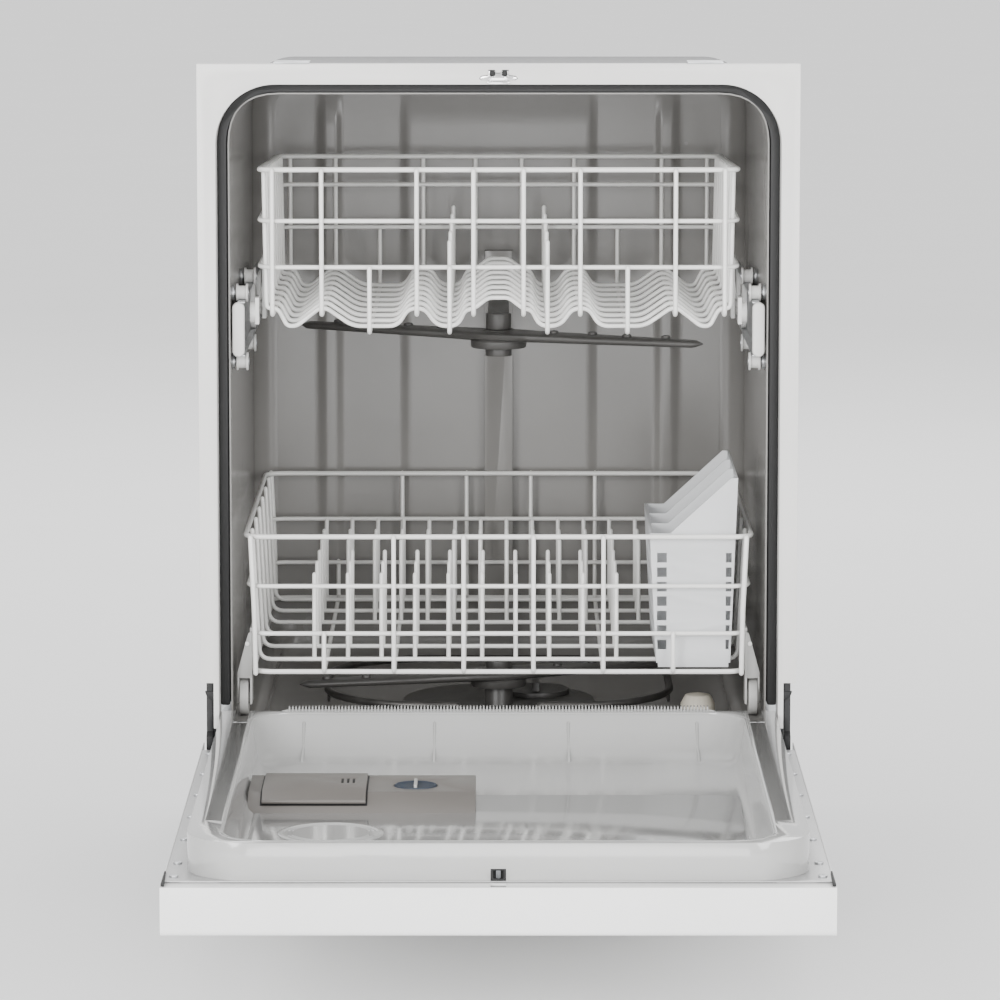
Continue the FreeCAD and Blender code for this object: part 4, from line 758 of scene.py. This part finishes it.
# ------------------------------------------------------------------ spray arms
def make_arm(name, node, body, length, height_at, turned_by):
    """A two-bladed arm: wide round hub, blades that taper and thin towards raised tips."""
    centre_y = behind(270)
    loops = []
    count = 48
    for i in range(count + 1):
        s = -1 + 2 * i / count
        u = abs(s)
        wide = 0.0235 * (1 - 0.62 * u ** 1.3) * (1 - 0.9 * max(0, u - 0.97) / 0.03)
        wide += 0.006 * math.exp(-(u / 0.14) ** 2)
        thick = 0.0062 * (1 - 0.35 * u) * (1 - 0.85 * max(0, u - 0.975) / 0.025)
        middle = 0.006 + 0.0008 * u
        ring = []
        for k in range(20):
            turn = 2 * math.pi * k / 20
            c, d = math.cos(turn), math.sin(turn)
            across = wide * math.copysign(abs(c) ** 0.75, c)
            up = thick * math.copysign(abs(d) ** 0.75, d) * (1 if d < 0 else 0.9)
            ring.append((s * length / 2, across, middle + up))
        loops.append(ring)
    parts = [loft(loops)]
    parts.append(turned([(0.0095, -0.007), (0.0285, -0.007), (0.0295, -0.0055), (0.0295, 0.0005),
                         (0.027, 0.003), (0.0095, 0.003)], (0, 0, 0)))
    parts.append(turned([(0.0095, 0.008), (0.0175, 0.008), (0.0185, 0.0095), (0.0175, 0.0118),
                         (0.0095, 0.0118)], (0, 0, 0)))
    nozzle = [(0.0001, 0.0112), (0.0052, 0.0108), (0.0046, 0.0132), (0.0030, 0.0138), (0.0016, 0.0136),
              (0.0012, 0.0126), (0.0001, 0.0124)]
    for i in range(4):
        for side in (1, -1):
            x = side * (0.066 + 0.042 * i)
            lean = 0.003 * (1 if i % 2 else -1)
            parts.append(turned(nozzle, (x, lean, 0), sides=20))
    points, faces = merge(parts)
    c, d = math.cos(turned_by), math.sin(turned_by)
    points = [(x * c - y * d, centre_y + x * d + y * c, z + height_at) for x, y, z in points]
    piece = add_piece(name, points, faces, body, DARK, [node], "dark_plastic")
    smooth_by_angle(piece, 40)


# ------------------------------------------------------------------ heating element and springs
def make_heater():
    """The heating loop: four true quarter bends, its two ends turned down through the floor."""
    height, radius, bend = 0.182, 4 * MM, 0.110
    half, near, far = 0.182, behind(150), behind(450)
    path = [(0.04, near, 0.161), (0.04, near, height - 0.006), (0.0415, near, height - 0.002),
            (0.0455, near, height)]
    for x, y, first in ((half - bend, near + bend, -90), (half - bend, far - bend, 0),
                        (bend - half, far - bend, 90), (bend - half, near + bend, 180)):
        for step in range(16):
            angle = math.radians(first + 6 * step)
            path.append((x + bend * math.cos(angle), y + bend * math.sin(angle), height))
    path += [(-0.0455, near, height), (-0.0415, near, height - 0.002), (-0.04, near, height - 0.006),
             (-0.04, near, 0.161)]
    clips = []
    for side in (-1, 1):
        arch = [(side * half, behind(293), 0.161), (side * half, behind(293), 0.18),
                (side * half, behind(307), 0.18), (side * half, behind(307), 0.161)]
        clips.append(tube(rounded(arch, 0.006), 0.0016))
    add_piece("heater_loop", *merge([tube(path, radius, sides=16)] + clips), "root", HEATER,
              ["heating_element"], "element_steel")


def make_springs():
    """The door's two coil springs, one low down on each side."""
    height, start, end, turns = 0.1305, behind(94.2), behind(225.4), 15
    across, coil_radius, wire_radius = 0.2804, 0.0065, 0.0015
    steps_per_turn = 14
    steps = turns * steps_per_turn
    coils = []
    for side in (-1, 1):
        path = []
        for i in range(steps + 1):
            turn = 2 * math.pi * i / steps_per_turn
            path.append((side * across + coil_radius * math.cos(turn), start + (end - start) * i / steps,
                         height + coil_radius * math.sin(turn)))
        coils.append(tube(path, wire_radius, sides=8))
    add_piece("spring_coils", *merge(coils), "root", CHROME, ["door_springs"], "bright_steel")


make_camera()
make_studio()
make_upper_rack()
make_lower_rack()
make_tub()
make_basin()
make_fringe()
make_vent()
make_dispenser_trim()
make_door_corners()
make_strike()
make_wheel_forks()
make_hinge_hooks()
make_arm("upper_arm", "upper_spray_arm", "upper_spray_arm", 0.471, 0.553, math.radians(-25.5))
make_arm("lower_arm", "lower_spray_arm", "lower_spray_arm", 0.446, 0.19, math.radians(20))
make_heater()
make_springs()

for softened, finish, width in (
        ("front_frame", ENAMEL, 0.5), ("console", CONSOLE, 1.2), ("door_outer_panel", DOOR_PAINT, 0.5),
        ("door_frame", STRIP, 0.4), ("door_liner", LINER, 2.2), ("silverware_basket", BASKET, 0.6),
        ("dispenser_body", TAUPE, 1.6), ("detergent_lid", TAUPE, 0.9), ("rail_caps", WHITE, 4.6),
        ("door_gasket", RUBBER, 2.0),
        ("upper_rails", ZINC, 0.3), ("upper_rack_carriers", WHITE, 0.8),
        ("filter_plate", DARK, 0.8), ("filter_cup", DARK, 0.8), ("feed_tube", TUB, 1.5),
        ("upper_manifold", DARK, 1.0), ("hinge_brackets", BLACK, 0.6),
        ("hinge_arms", ZINC, 0.5), ("base_frame", ZINC, 0.4), ("toe_panel", TOE, 0.4),
        ("levelling_legs", ZINC, 0.6), ("sump", DARK, 1.0), ("wash_pump", MOTOR, 1.5),
        ("drain_pump", BLACK, 1.0), ("inlet_valve", WHITE, 1.0), ("junction_box", ZINC, 0.4),
        ("sound_blanket", FELT, 2.5), ("counter_brackets", ZINC, 0.3), ("latch_housing", BLACK, 0.6),
        ("latch_hook", CHROME, 0.3),
        ("door_screws", ZINC, 0.3), ("control_board", BOARD, 0.2),
        ("cycle_button", WHITE, 0.5), ("options_button", WHITE, 0.5), ("start_button", WHITE, 0.5),
        ("float_dome", CREAM, 0.6), ("float_guide", WHITE, 0.4), ("spring_links", CHROME, 0.2),
        ("roller_pins", ZINC, 0.3), ("tub_roller_front_upper", WHITE, 0.5),
        ("tub_roller_front_lower", WHITE, 0.5), ("tub_roller_rear_upper", WHITE, 0.5),
        ("tub_roller_rear_lower", WHITE, 0.5), ("upper_wheels_front", WHITE, 0.6),
        ("upper_wheels_rear", WHITE, 0.6), ("lower_wheels_front", GREY, 0.8),
        ("lower_wheels_rear", GREY, 0.8)):
    soften(softened, finish, width)

bpy.context.view_layer.update()
